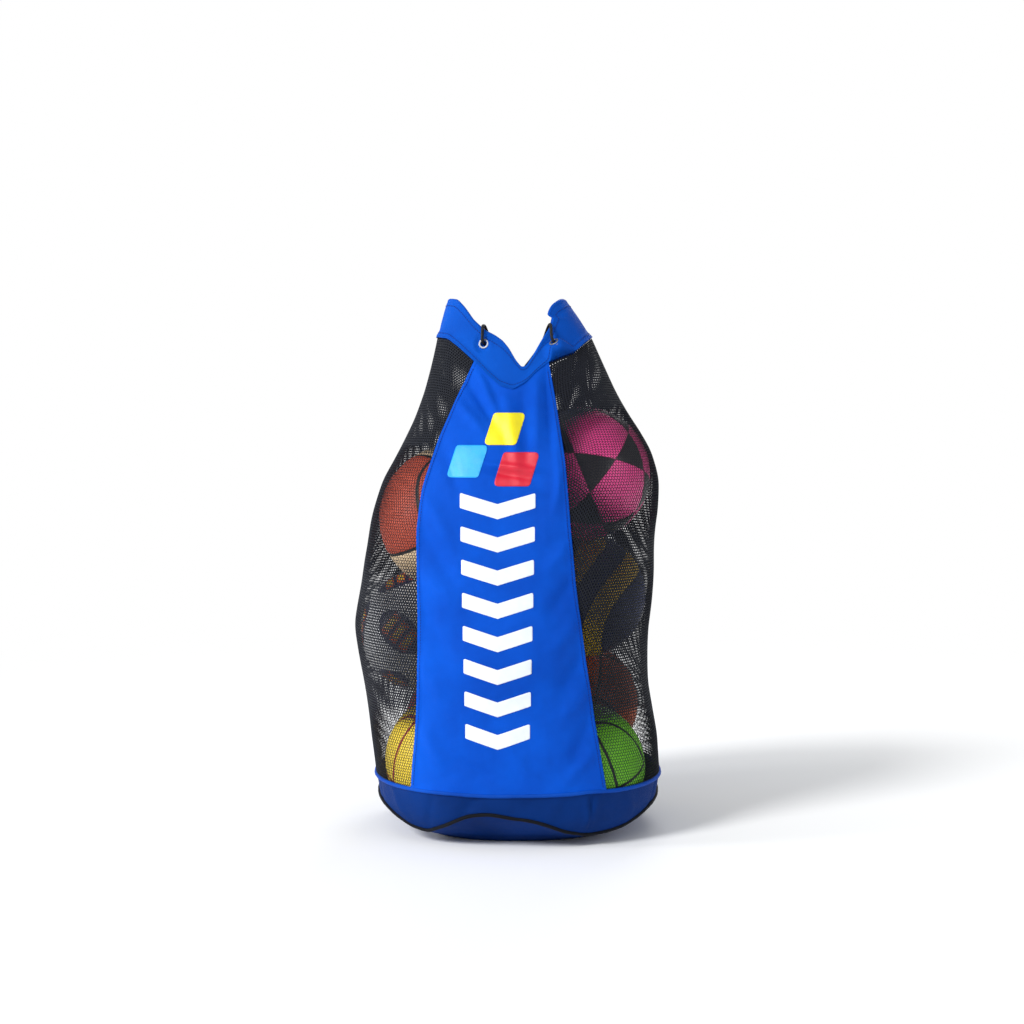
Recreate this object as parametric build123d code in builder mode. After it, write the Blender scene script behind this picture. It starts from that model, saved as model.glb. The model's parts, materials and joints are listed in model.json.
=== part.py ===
"""A drawstring mesh ball bag, standing full of balls, built piece by piece.

Millimetres. +Z is up, X runs across the printed front, and the front faces -Y.
The origin is the centre of the flat base, on the floor.
"""

from build123d import *
import os
from math import copysign, cos, pi, sin, tan

os.makedirs("parts", exist_ok=True)

# ---------------------------------------------------------------- driving dimensions
CLOTH = 1.8                # woven cloth, two plies sewn together
NET = 1.4                  # knitted net
BAND_FOOT = 16.0           # height where the base turns up into the band
BAND_TOP = 88.0            # height of the upper piping
PIPING_RADIUS = 3.5
PIPING_GAP = 0.15          # between a piping and the wall it is sewn to
SEAM_GAP = 0.3             # between two cloths that meet in a seam
SQUARENESS = 2.4           # 2 is an ellipse, more is squarer
WALL_POINTS = 16           # points round one section of the wall

TUNNEL_DEPTH = 11.0        # from the outside of the collar to its facing
CORD_RADIUS = 2.5
CORD_INSET = 6.3           # from the outside of the collar to the cord's middle
DIP_INSET = 7.5            # the same at the back, where the collar dips and bends most

EYELET_OUTER = 8.0         # radii and depths of an eyelet and its washer
EYELET_HOLE = 5.2
EYELET_FLANGE = 1.2
WASHER_DEPTH = 0.8
LEFT_EYELET_X = -54.0
RIGHT_EYELET_X = 55.0
EYELET_Z = 786.0

LEFT_SPLIT_X = -71.0       # where the collar's front and back end and its ears begin
RIGHT_SPLIT_X = 66.5
SPLIT_GAP = 2.0

LOCK_CENTRE = Vector(0, -74, 700)
STRAND_SPACING = 7.0       # the two tails side by side in the cord lock
LOCK_RADIUS = 11.0
LOCK_LENGTH = 26.0
PLUNGER_RADIUS = 7.6
PLUNGER_TRAVEL = 4.0
PLUNGER_CLEARANCE = 0.25

# Height, middle, half width and half depth of the bag's wall, from the floor up.
WALL = [
    (0, 0, 186, 186),
    (BAND_FOOT, 0, 207, 207),
    (45, 1, 226, 225),
    (BAND_TOP, 1, 233, 231),
    (150, -5, 239, 239),
    (235, -18, 238, 241),
    (330, -26, 244, 242),
    (434, -14, 243, 241),
    (510, -3, 237, 237),
    (570, 6, 227, 224),
    (615, 11, 208, 206),
    (665, 9, 181, 174),
    (710, 5, 160, 138),
    (752, 1, 144, 116),
    (801, -5, 125, 104),
    (835, -12, 110, 98),
    (870, -19, 92, 92),
]

# Seams drawn on the front view, as (x, z). The back is cut to the same lines.
COLLAR_SEAM = [(-170, 812), (-137, 804), (-110, 798), (-66, 758), (-28, 720), (-8, 714)]
COLLAR_SEAM += [(13, 727), (46, 757), (90, 780), (121, 803), (170, 812)]
COLLAR_RIM = [(-170, 866), (-120, 864), (-100, 861), (-72, 826), (-35, 799), (-14, 779)]
COLLAR_RIM += [(8, 749), (26, 770), (55, 816), (64, 852), (78, 862), (100, 864), (170, 866)]
PANEL_LEFT = [(-166, 80), (-160, 300), (-160, 490), (-134, 618), (-66, 762), (-40, 830)]
PANEL_RIGHT = [(138, 80), (119, 227), (97, 384), (76, 603), (47, 765), (34, 830)]

# Name, radius and middle of each ball. The first six show at the front corners.
BALLS = [
    ("yellow_ball", 105, (-108, -91, 119)),
    ("green_ball", 103, (102, -99, 109)),
    ("white_ball", 102, (-159, 29, 314)),
    ("navy_ball", 103, (110, 17, 375)),
    ("brown_ball", 117, (-106, -71, 507)),
    ("pink_ball", 108, (107, -50, 578)),
    ("orange_ball", 101, (105, 95, 183)),
    ("red_ball", 101, (-94, 114, 139)),
    ("sky_ball", 101, (-44, 132, 452)),
    ("cream_ball", 101, (-11, -136, 302)),
]
BALL_SKIN = 2.4


# ---------------------------------------------------------------- the wall's shape
def wall_size(height):
    """Middle, half width and half depth of the wall at any height."""
    for low, high in zip(WALL, WALL[1:]):
        if height <= high[0]:
            share = (height - low[0]) / (high[0] - low[0])
            return [a + share * (b - a) for a, b in zip(low[1:], high[1:])]
    return WALL[-1][1:]


def wall_point(turn, height, inset):
    """A point of the wall's section, turn radians round from +X, inset from the outside."""
    middle, half_width, half_depth = wall_size(height)
    bulge = 2 / SQUARENESS
    x = (half_width - inset) * copysign(abs(cos(turn)) ** bulge, cos(turn))
    y = (half_depth - inset) * copysign(abs(sin(turn)) ** bulge, sin(turn))
    return Vector(middle + x, y)


def wall_depth(x, height, inset):
    """How far the wall stands in front of or behind the middle, at one x and height."""
    middle, half_width, half_depth = wall_size(height)
    across = abs(x - middle) / (half_width - inset)
    return (half_depth - inset) * (1 - across ** SQUARENESS) ** (1 / SQUARENESS)


def wall_ring(height, inset, lift=0.0):
    """The closed curve that the wall follows at one height, drawn flat or lifted to a height."""
    turns = [2 * pi * step / WALL_POINTS for step in range(WALL_POINTS)]
    points = [wall_point(turn, height, inset) + Vector(0, 0, lift) for turn in turns]
    return Spline(*points, periodic=True)


def wall_solid(inset, foot):
    """The bag as one full solid, drawn in by inset, with its underside at foot."""
    heights = [foot] + [row[0] for row in WALL if row[0] > foot + 1]
    with BuildPart() as solid:
        for height in heights:
            with BuildSketch(Plane.XY.offset(height)):
                with BuildLine():
                    wall_ring(height, inset)
                make_face()
        loft()
    return solid.part


def ply(inset, thickness, foot):
    """One closed layer of the bag's wall."""
    with BuildPart() as layer:
        add(wall_solid(inset, 0))
        add(wall_solid(inset + thickness, foot), mode=Mode.SUBTRACT)
    return layer.part


def outline(upper, lower):
    """A closed outline on the front view, between two open curves that run the same way."""
    with BuildSketch(Plane.XZ) as region:
        with BuildLine():
            first = Spline(*upper)
            second = Spline(*lower)
            Line(first @ 0, second @ 0)
            Line(first @ 1, second @ 1)
        make_face()
    return region.sketch


def box_between(low, high):
    """A block from one corner to the other, to cut with."""
    size = high - low
    with BuildPart() as block:
        with Locations((low + high) * 0.5):
            Box(size.X, size.Y, size.Z)
    return block.part


def save(piece, name):
    """Name a finished piece and write it."""
    piece.part.label = name
    export_step(piece.part, f"parts/{name}.step")
    print(name, round(piece.part.volume / 1000, 2), "cm3")


REACH = 300.0              # further than the bag goes from its middle

cloth_ply = ply(0, CLOTH, CLOTH)
net_ply = ply(0, NET, NET)
facing_ply = ply(TUNNEL_DEPTH, CLOTH, CLOTH)

# ---------------------------------------------------------------- base, band and pipings
with BuildPart() as base_disc:
    add(cloth_ply)
    add(box_between(Vector(-REACH, -REACH, -1), Vector(REACH, REACH, BAND_FOOT)), mode=Mode.INTERSECT)
save(base_disc, "base_disc")

with BuildPart() as base_band:
    add(cloth_ply)
    band_low = Vector(-REACH, -REACH, BAND_FOOT + SEAM_GAP)
    band_high = Vector(REACH, REACH, BAND_TOP)
    add(box_between(band_low, band_high), mode=Mode.INTERSECT)
save(base_band, "base_band")

for piping_name, height in (("lower_piping", BAND_FOOT), ("upper_piping", BAND_TOP)):
    with BuildPart() as piping:
        with BuildLine() as piping_path:
            wall_ring(height, -PIPING_RADIUS - PIPING_GAP, lift=height)
        with BuildSketch(Plane(origin=piping_path.line @ 0, z_dir=piping_path.line % 0)):
            Circle(PIPING_RADIUS)
        sweep(path=piping_path.line)
    save(piping, piping_name)

# ---------------------------------------------------------------- panels and nets
ABOVE = 900.0              # over the top of everything
above_seam = outline([(-170, ABOVE), (170, ABOVE)], COLLAR_SEAM)
panel_width = outline(PANEL_LEFT, PANEL_RIGHT)
left_of_panel = outline([(-REACH, 80), (-REACH, 830)], [(x - SEAM_GAP, z) for x, z in PANEL_LEFT])
right_of_panel = outline([(REACH, 80), (REACH, 830)], [(x + SEAM_GAP, z) for x, z in PANEL_RIGHT])
body_block = box_between(Vector(-REACH, -REACH, BAND_TOP + SEAM_GAP), Vector(REACH, REACH, 820))

for panel_name, towards in (("front_panel", REACH), ("back_panel", -REACH)):
    with BuildPart() as panel:
        add(cloth_ply)
        add(body_block, mode=Mode.INTERSECT)
        extrude(panel_width, amount=towards, mode=Mode.INTERSECT)
        extrude(above_seam, amount=towards, mode=Mode.SUBTRACT)
    save(panel, panel_name)

for net_name, side in (("left_mesh", left_of_panel), ("right_mesh", right_of_panel)):
    with BuildPart() as mesh:
        add(net_ply)
        add(body_block, mode=Mode.INTERSECT)
        extrude(side, amount=REACH, both=True, mode=Mode.INTERSECT)
        extrude(above_seam, amount=REACH, both=True, mode=Mode.SUBTRACT)
    save(mesh, net_name)

# ---------------------------------------------------------------- collar, its facing and the split
collar_band = outline(COLLAR_RIM, [(x, z + 2 * SEAM_GAP) for x, z in COLLAR_SEAM])
with BuildPart() as collar_cloth:
    add(cloth_ply)
    extrude(collar_band, amount=REACH, both=True, mode=Mode.INTERSECT)
with BuildPart() as facing_cloth:
    add(facing_ply)
    extrude(collar_band, amount=REACH, both=True, mode=Mode.INTERSECT)

half_split = SPLIT_GAP / 2
left_end = LEFT_SPLIT_X + half_split
right_end = RIGHT_SPLIT_X - half_split
COLLAR_BOXES = {
    "left": (Vector(-REACH, -REACH, 0), Vector(LEFT_SPLIT_X - half_split, REACH, ABOVE)),
    "right": (Vector(RIGHT_SPLIT_X + half_split, -REACH, 0), Vector(REACH, REACH, ABOVE)),
    "front": (Vector(left_end, -REACH, 0), Vector(right_end, 0, ABOVE)),
    "back": (Vector(left_end, 0, 0), Vector(right_end, REACH, ABOVE)),
}

# The eyelets: the left one lies flat on the collar, the right one on a fold that faces up.
outer_skin = wall_solid(0, 0).faces().sort_by(SortBy.AREA)[-1]


def collar_point(x, height):
    """Where a line from the front meets the collar, and the outward direction there."""
    point, normal = outer_skin.find_intersection_points(Axis((x, -REACH, height), (0, 1, 0)))[0]
    if normal.Y > 0:
        normal = normal * -1
    return point, normal


left_wall, left_out = collar_point(LEFT_EYELET_X, EYELET_Z)
right_wall, right_out = collar_point(RIGHT_EYELET_X, EYELET_Z - 3)
RIGHT_EYELET_AXIS = Vector(-0.45, -0.45, 0.77)
right_eyelet_middle = right_wall + right_out * 9 + Vector(0, 0, 3)
EYELETS = {
    "left": Plane(origin=left_wall, z_dir=left_out),
    "right": Plane(origin=right_eyelet_middle, z_dir=RIGHT_EYELET_AXIS),
}
EYELET_CUTS = [
    (Plane(origin=left_wall, z_dir=left_out), EYELET_HOLE + 1.4),
    (Plane(origin=right_wall, z_dir=right_out), EYELET_HOLE + 3.0),
]

for side, (low, high) in COLLAR_BOXES.items():
    for cloth, kind in ((collar_cloth.part, "collar"), (facing_cloth.part, "facing")):
        with BuildPart() as strip:
            add(cloth)
            add(box_between(low, high), mode=Mode.INTERSECT)
            if side == "front" and kind == "collar":
                for plane, radius in EYELET_CUTS:
                    with BuildSketch(plane.offset(-4)):
                        Circle(radius)
                    extrude(amount=8, mode=Mode.SUBTRACT)
        save(strip, f"{side}_{kind}")

for side, plane in EYELETS.items():
    with BuildPart() as eyelet:
        with BuildSketch(plane.offset(0.1)):
            Circle(EYELET_OUTER)
            Circle(EYELET_HOLE, mode=Mode.SUBTRACT)
        extrude(amount=EYELET_FLANGE)
        fillet(eyelet.faces().sort_by(Axis(plane.origin, plane.z_dir))[-1].edges(), 0.5)
        with BuildSketch(plane.offset(0.1)):
            Circle(EYELET_HOLE + 0.9)
            Circle(EYELET_HOLE, mode=Mode.SUBTRACT)
        extrude(amount=-CLOTH - 0.4)
    save(eyelet, f"{side}_eyelet")
    with BuildPart() as washer:
        with BuildSketch(plane.offset(-CLOTH - 0.4)):
            Circle(EYELET_OUTER)
            Circle(EYELET_HOLE + 1.0, mode=Mode.SUBTRACT)
        extrude(amount=-WASHER_DEPTH)
    save(washer, f"{side}_washer")


# ---------------------------------------------------------------- drawcord
def cord(name, route):
    """A round cord along straight runs joined by arcs as large as the runs allow."""
    radii = []
    for before, corner, after in zip(route, route[1:], route[2:]):
        first = corner - before
        second = after - corner
        half_turn = first.get_angle(second) * pi / 360
        radii.append(0.45 * min(first.length, second.length) / tan(half_turn))
    print(name, "bend radii", [round(radius, 1) for radius in radii])
    with BuildPart() as tube:
        with BuildLine() as path:
            FilletPolyline(*route, radius=radii)
        with BuildSketch(Plane(origin=route[0], z_dir=route[1] - route[0])):
            Circle(CORD_RADIUS)
        sweep(path=path.wire())
    length = path.wire().length
    print(name, "length", round(length, 1), "volume share", round(tube.part.volume / length / pi / CORD_RADIUS**2, 3))
    save(tube, name)


half_strand = STRAND_SPACING / 2
left_tail = [left_wall - left_out * 5, left_wall + left_out * 6.5]
left_tail += [Vector(-56, -105.5, 803), Vector(-56, -101, 819), Vector(-53, -89, 823)]
left_tail += [Vector(-49, -77, 812), Vector(-41, -72, 789), Vector(-24, -71, 763)]
left_tail += [Vector(-9, -72.5, 744), Vector(-half_strand, -74, 727), Vector(-half_strand, -74, 660)]
cord("left_tail", left_tail)

right_tail = [right_wall - right_out * 5, right_eyelet_middle - RIGHT_EYELET_AXIS * 7]
right_tail += [right_eyelet_middle + RIGHT_EYELET_AXIS * 8, Vector(53, -103, 815)]
right_tail += [Vector(52, -91, 825), Vector(48, -76, 818), Vector(41, -70, 793), Vector(25, -70, 766)]
right_tail += [Vector(9, -72.5, 745), Vector(half_strand, -74, 727), Vector(half_strand, -74, 660)]
cord("right_tail", right_tail)

LEFT_EAR = [(239, 806), (225, 824), (210, 836), (195, 841), (180, 843)]
LEFT_EAR += [(165, 841), (150, 836), (135, 824), (121, 806)]
RIGHT_EAR = [(-39, 839), (-25, 841), (-9, 843), (9, 843), (25, 841), (39, 839)]
for ear_name, ear in (("left_drawcord", LEFT_EAR), ("right_drawcord", RIGHT_EAR)):
    places = [(wall_point(turn * pi / 180, height, CORD_INSET), height) for turn, height in ear]
    cord(ear_name, [Vector(place.X, place.Y, height) for place, height in places])

BACK_RUN = [(-68, 803), (-50, 789), (-30, 773), (-14, 753), (-3, 736), (12, 734), (25, 750)]
BACK_RUN += [(38, 772), (52, 795), (62, 826)]
cord("back_drawcord", [Vector(x, wall_depth(x, z, DIP_INSET), z) for x, z in BACK_RUN])

# ---------------------------------------------------------------- knot and cord lock
with BuildPart() as tail_knot:
    with BuildSketch(Plane.XZ.offset(-LOCK_CENTRE.Y)):
        with BuildLine():
            Polyline((0, 660), (6.5, 660))
            Spline((6.5, 660), (9, 652.5), (5, 644))
            Polyline((5, 644), (0, 644), (0, 660))
        make_face()
    revolve(axis=Axis((0, LOCK_CENTRE.Y, 0), (0, 0, 1)))
save(tail_knot, "tail_knot")

BORE_FLOOR = -9.0          # along the lock's own axis, from its middle
PLUNGER_END = -1.5
PLUNGER_LENGTH = 20.0
SLOT_HALF_LENGTH = half_strand + CORD_RADIUS + 0.5
SLOT_HALF_WIDTH = CORD_RADIUS + 0.5
lock_plane = Plane(origin=LOCK_CENTRE, z_dir=(1, 0, 0), x_dir=(0, 1, 0))

with BuildPart() as lock_body:
    with BuildSketch(lock_plane.offset(-LOCK_LENGTH / 2)):
        Circle(LOCK_RADIUS)
    extrude(amount=LOCK_LENGTH)
    fillet(lock_body.edges().filter_by(GeomType.CIRCLE), 1.5)
    with BuildSketch(lock_plane.offset(BORE_FLOOR)):
        Circle(PLUNGER_RADIUS + PLUNGER_CLEARANCE)
    extrude(amount=LOCK_LENGTH, mode=Mode.SUBTRACT)
    with BuildSketch(Plane.XY.offset(LOCK_CENTRE.Z - 2 * LOCK_RADIUS)):
        with Locations((0, LOCK_CENTRE.Y)):
            SlotOverall(2 * SLOT_HALF_LENGTH, 2 * SLOT_HALF_WIDTH)
    extrude(amount=4 * LOCK_RADIUS, mode=Mode.SUBTRACT)
save(lock_body, "lock_body")

with BuildPart() as lock_button:
    with BuildSketch(lock_plane.offset(PLUNGER_END)):
        Circle(PLUNGER_RADIUS)
    extrude(amount=PLUNGER_LENGTH)
    fillet(lock_button.faces().sort_by(Axis.X)[-1].edges(), 1.5)
    slot_end = SLOT_HALF_LENGTH + PLUNGER_TRAVEL + PLUNGER_CLEARANCE
    cut_middle = Vector((slot_end + PLUNGER_END) / 2 - 1, LOCK_CENTRE.Y, LOCK_CENTRE.Z)
    with Locations(cut_middle):
        Box(slot_end - PLUNGER_END + 2, 2 * SLOT_HALF_WIDTH, 4 * PLUNGER_RADIUS, mode=Mode.SUBTRACT)
save(lock_button, "lock_button")

SPRING_RADIUS = 5.6
SPRING_WIRE = 0.45
SPRING_TURNS = 2.0
SPRING_PITCH = 1.0
with BuildPart() as lock_spring:
    spring_foot = LOCK_CENTRE + Vector(BORE_FLOOR + SPRING_WIRE + 0.1, 0, 0)
    coil_height = SPRING_PITCH * SPRING_TURNS
    with BuildLine() as coil:
        Helix(SPRING_PITCH, coil_height, SPRING_RADIUS, center=spring_foot, direction=(1, 0, 0))
    with BuildSketch(Plane(origin=coil.line @ 0, z_dir=coil.line % 0)):
        Circle(SPRING_WIRE)
    sweep(path=coil.line, is_frenet=True)
save(lock_spring, "lock_spring")

# ---------------------------------------------------------------- balls
for ball_name, radius, middle in BALLS:
    with BuildPart() as ball:
        with Locations(middle):
            Sphere(radius)
            Sphere(radius - BALL_SKIN, mode=Mode.SUBTRACT)
    save(ball, ball_name)
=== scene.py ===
# %% [markdown]
# # A drawstring mesh ball bag
# The bag stands on its round cloth base, full of balls. Blue cloth runs up its front and
# back, black net closes its sides, and a cloth collar with a drawcord gathers the mouth.
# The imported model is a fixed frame: it gives every piece its place, and this lesson
# gives every piece its looks.

# %% Load the frame
import json
import math

import bmesh
import bpy
import numpy as np
from mathutils import Matrix, Vector
from mathutils.bvhtree import BVHTree

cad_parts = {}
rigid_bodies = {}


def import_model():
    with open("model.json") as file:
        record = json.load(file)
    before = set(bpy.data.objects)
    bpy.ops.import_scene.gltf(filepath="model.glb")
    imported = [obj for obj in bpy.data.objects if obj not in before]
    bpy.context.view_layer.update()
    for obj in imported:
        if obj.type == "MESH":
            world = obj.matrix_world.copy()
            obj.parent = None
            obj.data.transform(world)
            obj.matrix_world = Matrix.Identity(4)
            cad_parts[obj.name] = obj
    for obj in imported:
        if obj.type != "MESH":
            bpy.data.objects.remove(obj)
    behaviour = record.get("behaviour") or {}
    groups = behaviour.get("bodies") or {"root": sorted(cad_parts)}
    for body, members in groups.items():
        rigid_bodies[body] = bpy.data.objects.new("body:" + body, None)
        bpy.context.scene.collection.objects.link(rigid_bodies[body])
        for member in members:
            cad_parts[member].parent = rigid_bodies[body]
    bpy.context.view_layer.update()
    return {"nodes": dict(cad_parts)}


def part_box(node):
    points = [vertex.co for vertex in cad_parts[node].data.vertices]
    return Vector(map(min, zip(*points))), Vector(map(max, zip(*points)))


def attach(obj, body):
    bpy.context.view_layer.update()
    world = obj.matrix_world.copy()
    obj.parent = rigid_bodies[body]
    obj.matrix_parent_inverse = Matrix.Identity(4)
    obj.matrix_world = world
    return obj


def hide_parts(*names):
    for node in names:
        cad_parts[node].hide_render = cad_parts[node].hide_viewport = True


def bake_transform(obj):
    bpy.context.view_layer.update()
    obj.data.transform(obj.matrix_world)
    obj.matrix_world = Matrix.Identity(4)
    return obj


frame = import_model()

MM = 0.001

# %% [markdown]
# ## Camera
# The bag is looked at from far away through a long lens, so that its sides stay
# upright. The camera stands three metres off, at the height of the bag's shoulder, and
# looks down by under three degrees. It could be aimed with a constraint, but plain
# numbers can be read back and repeated.

# %% Camera
CAMERA_AWAY = 3.0
CAMERA_HEIGHT = 0.66
CAMERA_DOWN = math.radians(2.8)
CAMERA_ASIDE = -0.009
LENS = 63.9
camera_data = bpy.data.cameras.new("camera")
camera_data.lens = LENS
camera = bpy.data.objects.new("camera", camera_data)
camera.location = (CAMERA_ASIDE, -CAMERA_AWAY, CAMERA_HEIGHT)
camera.rotation_euler = (math.pi / 2 - CAMERA_DOWN, 0, 0)
bpy.context.scene.collection.objects.link(camera)
bpy.context.scene.camera = camera
print("camera", tuple(round(value, 3) for value in camera.location))

# %% [markdown]
# ## Light and floor
# One large soft lamp from the upper left, a weaker one from the right and a pale sky
# make shading without hard shadows. The floor is one pale plane. It
# could end in a curved backdrop, but a plane that fades to white paper with distance
# hides the horizon from every side.

# %% Light and floor
scene = bpy.context.scene
for leftover in list(bpy.data.objects):
    if leftover.name in ("Cube", "Light", "Camera"):
        bpy.data.objects.remove(leftover)
scene.view_settings.view_transform = "Standard"


def lamp(name, kind, place, aim, power, **settings):
    """A lamp at a place, turned to shine at a point."""
    light = bpy.data.lights.new(name, kind)
    light.energy = power
    for key, value in settings.items():
        setattr(light, key, value)
    thing = bpy.data.objects.new(name, light)
    thing.location = place
    thing.rotation_euler = (Vector(aim) - Vector(place)).to_track_quat("-Z", "Y").to_euler()
    scene.collection.objects.link(thing)


lamp("key_light", "SUN", (-1.9, -1.7, 2.1), (0, 0, 0.3), 2.4, angle=math.radians(16))
lamp("side_light", "AREA", (-2.2, -0.7, 0.9), (0, 0, 0.45), 20, shape="DISK", size=0.5)
lamp("fill_light", "AREA", (2.3, -1.6, 1.2), (0, 0, 0.4), 9, shape="DISK", size=1.4)
lamp("back_light", "AREA", (0.6, 2.4, 2.2), (0, 0, 0.5), 22, shape="DISK", size=1.4)

sky = bpy.data.worlds.new("sky")
sky.use_nodes = True
sky_tree = sky.node_tree
soft_sky = sky_tree.nodes["Background"]
soft_sky.inputs["Color"].default_value = (0.96, 0.98, 1.0, 1)
soft_sky.inputs["Strength"].default_value = 0.5
# What the camera sees behind the bag is plain white paper, brighter than its light.
white_paper = sky_tree.nodes.new("ShaderNodeBackground")
white_paper.inputs["Color"].default_value = (1, 1, 1, 1)
seen = sky_tree.nodes.new("ShaderNodeLightPath")
choose = sky_tree.nodes.new("ShaderNodeMixShader")
sky_tree.links.new(seen.outputs["Is Camera Ray"], choose.inputs[0])
sky_tree.links.new(soft_sky.outputs[0], choose.inputs[1])
sky_tree.links.new(white_paper.outputs[0], choose.inputs[2])
sky_tree.links.new(choose.outputs[0], sky_tree.nodes["World Output"].inputs["Surface"])
scene.world = sky

FLOOR_REACH = 60
floor_corners = [(x * FLOOR_REACH, y * FLOOR_REACH, 0) for x, y in ((-1, -1), (1, -1), (1, 1), (-1, 1))]
floor_mesh = bpy.data.meshes.new("studio_floor")
floor_mesh.from_pydata(floor_corners, [], [(0, 1, 2, 3)])
floor = bpy.data.objects.new("studio_floor", floor_mesh)
scene.collection.objects.link(floor)
floor_paper = bpy.data.materials.new("floor_paper")
floor_paper.use_nodes = True
paper_shader = floor_paper.node_tree.nodes["Principled BSDF"]
paper_shader.inputs["Base Color"].default_value = (0.93, 0.935, 0.94, 1)
paper_shader.inputs["Roughness"].default_value = 0.9
paper_shader.inputs["Specular IOR Level"].default_value = 0.1
# Far from the bag the floor turns into the same white paper, so no horizon shows.
FADE_FROM, FADE_TO = 0.45, 2.6
paper_tree = floor_paper.node_tree
place = paper_tree.nodes.new("ShaderNodeTexCoord")
away = paper_tree.nodes.new("ShaderNodeVectorMath")
away.operation = "LENGTH"
fade = paper_tree.nodes.new("ShaderNodeMapRange")
fade.interpolation_type = "SMOOTHSTEP"
fade.inputs["From Min"].default_value = FADE_FROM
fade.inputs["From Max"].default_value = FADE_TO
paper_ray = paper_tree.nodes.new("ShaderNodeLightPath")
far_and_seen = paper_tree.nodes.new("ShaderNodeMath")
far_and_seen.operation = "MULTIPLY"
far_paper = paper_tree.nodes.new("ShaderNodeEmission")
paper_mix = paper_tree.nodes.new("ShaderNodeMixShader")
for source, target in ((place.outputs["Object"], away.inputs[0]),
                       (away.outputs["Value"], fade.inputs["Value"]),
                       (fade.outputs["Result"], far_and_seen.inputs[0]),
                       (paper_ray.outputs["Is Camera Ray"], far_and_seen.inputs[1]),
                       (far_and_seen.outputs[0], paper_mix.inputs[0]),
                       (paper_shader.outputs[0], paper_mix.inputs[1]),
                       (far_paper.outputs[0], paper_mix.inputs[2]),
                       (paper_mix.outputs[0], paper_tree.nodes["Material Output"].inputs["Surface"])):
    paper_tree.links.new(source, target)
floor.data.materials.append(floor_paper)


# %% [markdown]
# ## Building helpers
# Meshes are made from numpy arrays, because cloth is easiest to shape as a grid of
# points that a formula can move.

# %% Mesh helpers
def mesh_object(name, points, faces, smooth=True):
    """A mesh object from an array of points and a list of faces."""
    mesh = bpy.data.meshes.new(name)
    corners = [tuple(point) for point in np.asarray(points, float)]
    mesh.from_pydata(corners, [], [list(face) for face in faces])
    mesh.validate()
    if smooth:
        mesh.shade_smooth()
    thing = bpy.data.objects.new(name, mesh)
    scene.collection.objects.link(thing)
    return thing


def grid_faces(rows, columns, wrap=False, flip=False):
    """Quads of a grid of rows by columns points, the columns joined round if wrap."""
    row = np.arange(rows - 1)[:, None]
    column = np.arange(columns if wrap else columns - 1)[None, :]
    after = (column + 1) % columns
    corners = [row * columns + column, row * columns + after,
               (row + 1) * columns + after, (row + 1) * columns + column]
    quads = np.stack([np.broadcast_to(c, corners[0].shape) for c in corners], -1).reshape(-1, 4)
    return (quads[:, ::-1] if flip else quads).tolist()


def add_uv(thing, values, name="UVMap"):
    """A UV map from one (u, v) pair for each point."""
    layer = thing.data.uv_layers.new(name=name)
    corner_points = np.zeros(len(thing.data.loops), int)
    thing.data.loops.foreach_get("vertex_index", corner_points)
    layer.data.foreach_set("uv", np.asarray(values, np.float32)[corner_points].ravel())


def final_mesh(thing):
    """Bake a piece's modifiers into its mesh."""
    graph = bpy.context.evaluated_depsgraph_get()
    done = bpy.data.meshes.new_from_object(thing.evaluated_get(graph), depsgraph=graph)
    done.name = thing.name
    thing.modifiers.clear()
    thing.data = done
    return thing


def ease(value):
    """0 to 1 with soft ends."""
    value = np.clip(value, 0, 1)
    return value * value * (3 - 2 * value)


def triangles(thing):
    return sum(len(face.vertices) - 2 for face in thing.data.polygons)


# %% [markdown]
# ## The wall of the bag
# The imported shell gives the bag's size: at each height a section with a middle, a half
# width and a half depth, a little squarer than an ellipse. The same figures are kept
# here in metres, and every cloth piece starts on this wall.

# %% The wall's section
SQUARENESS = 2.4
BAND_TOP = 88 * MM
WALL = MM * np.array([
    (0, 0, 186, 186), (16, 0, 207, 207), (45, 1, 226, 225), (88, 1, 233, 231),
    (150, -5, 239, 239), (235, -18, 238, 241), (330, -26, 244, 242), (434, -14, 243, 241),
    (510, -3, 237, 237), (570, 6, 227, 224), (615, 11, 208, 206), (665, 9, 181, 174),
    (710, 5, 160, 138), (752, 1, 144, 116), (801, -5, 125, 104), (835, -12, 110, 98),
    (870, -19, 92, 92)])
fine_height = np.linspace(WALL[0, 0], WALL[-1, 0], 436)
soften = np.hanning(25) / np.hanning(25).sum()
WALL_FINE = []
for column in (1, 2, 3):
    values = np.interp(fine_height, WALL[:, 0], WALL[:, column])
    padded_values = np.pad(values, 12, mode="reflect", reflect_type="odd")
    WALL_FINE.append(np.convolve(padded_values, soften, mode="valid"))


def wall_size(height):
    """Middle, half width and half depth at each height."""
    return [np.interp(height, fine_height, values) for values in WALL_FINE]


def wall_direction(turn, height):
    """The horizontal arm from the wall's middle to its skin, and the middle itself."""
    middle, half_width, half_depth = wall_size(height)
    power = 2 / SQUARENESS
    x = half_width * np.sign(np.cos(turn)) * np.abs(np.cos(turn)) ** power
    y = half_depth * np.sign(np.sin(turn)) * np.abs(np.sin(turn)) ** power
    return middle, x, y


def turn_at(x, height, front):
    """The turn, in radians from +X, where the wall has this x, at the front or the back."""
    middle, half_width, _ = wall_size(height)
    across = np.clip((x - middle) / half_width, -1, 1)
    turn = np.arccos(np.sign(across) * np.abs(across) ** (SQUARENESS / 2))
    return -turn if front else turn


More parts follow.
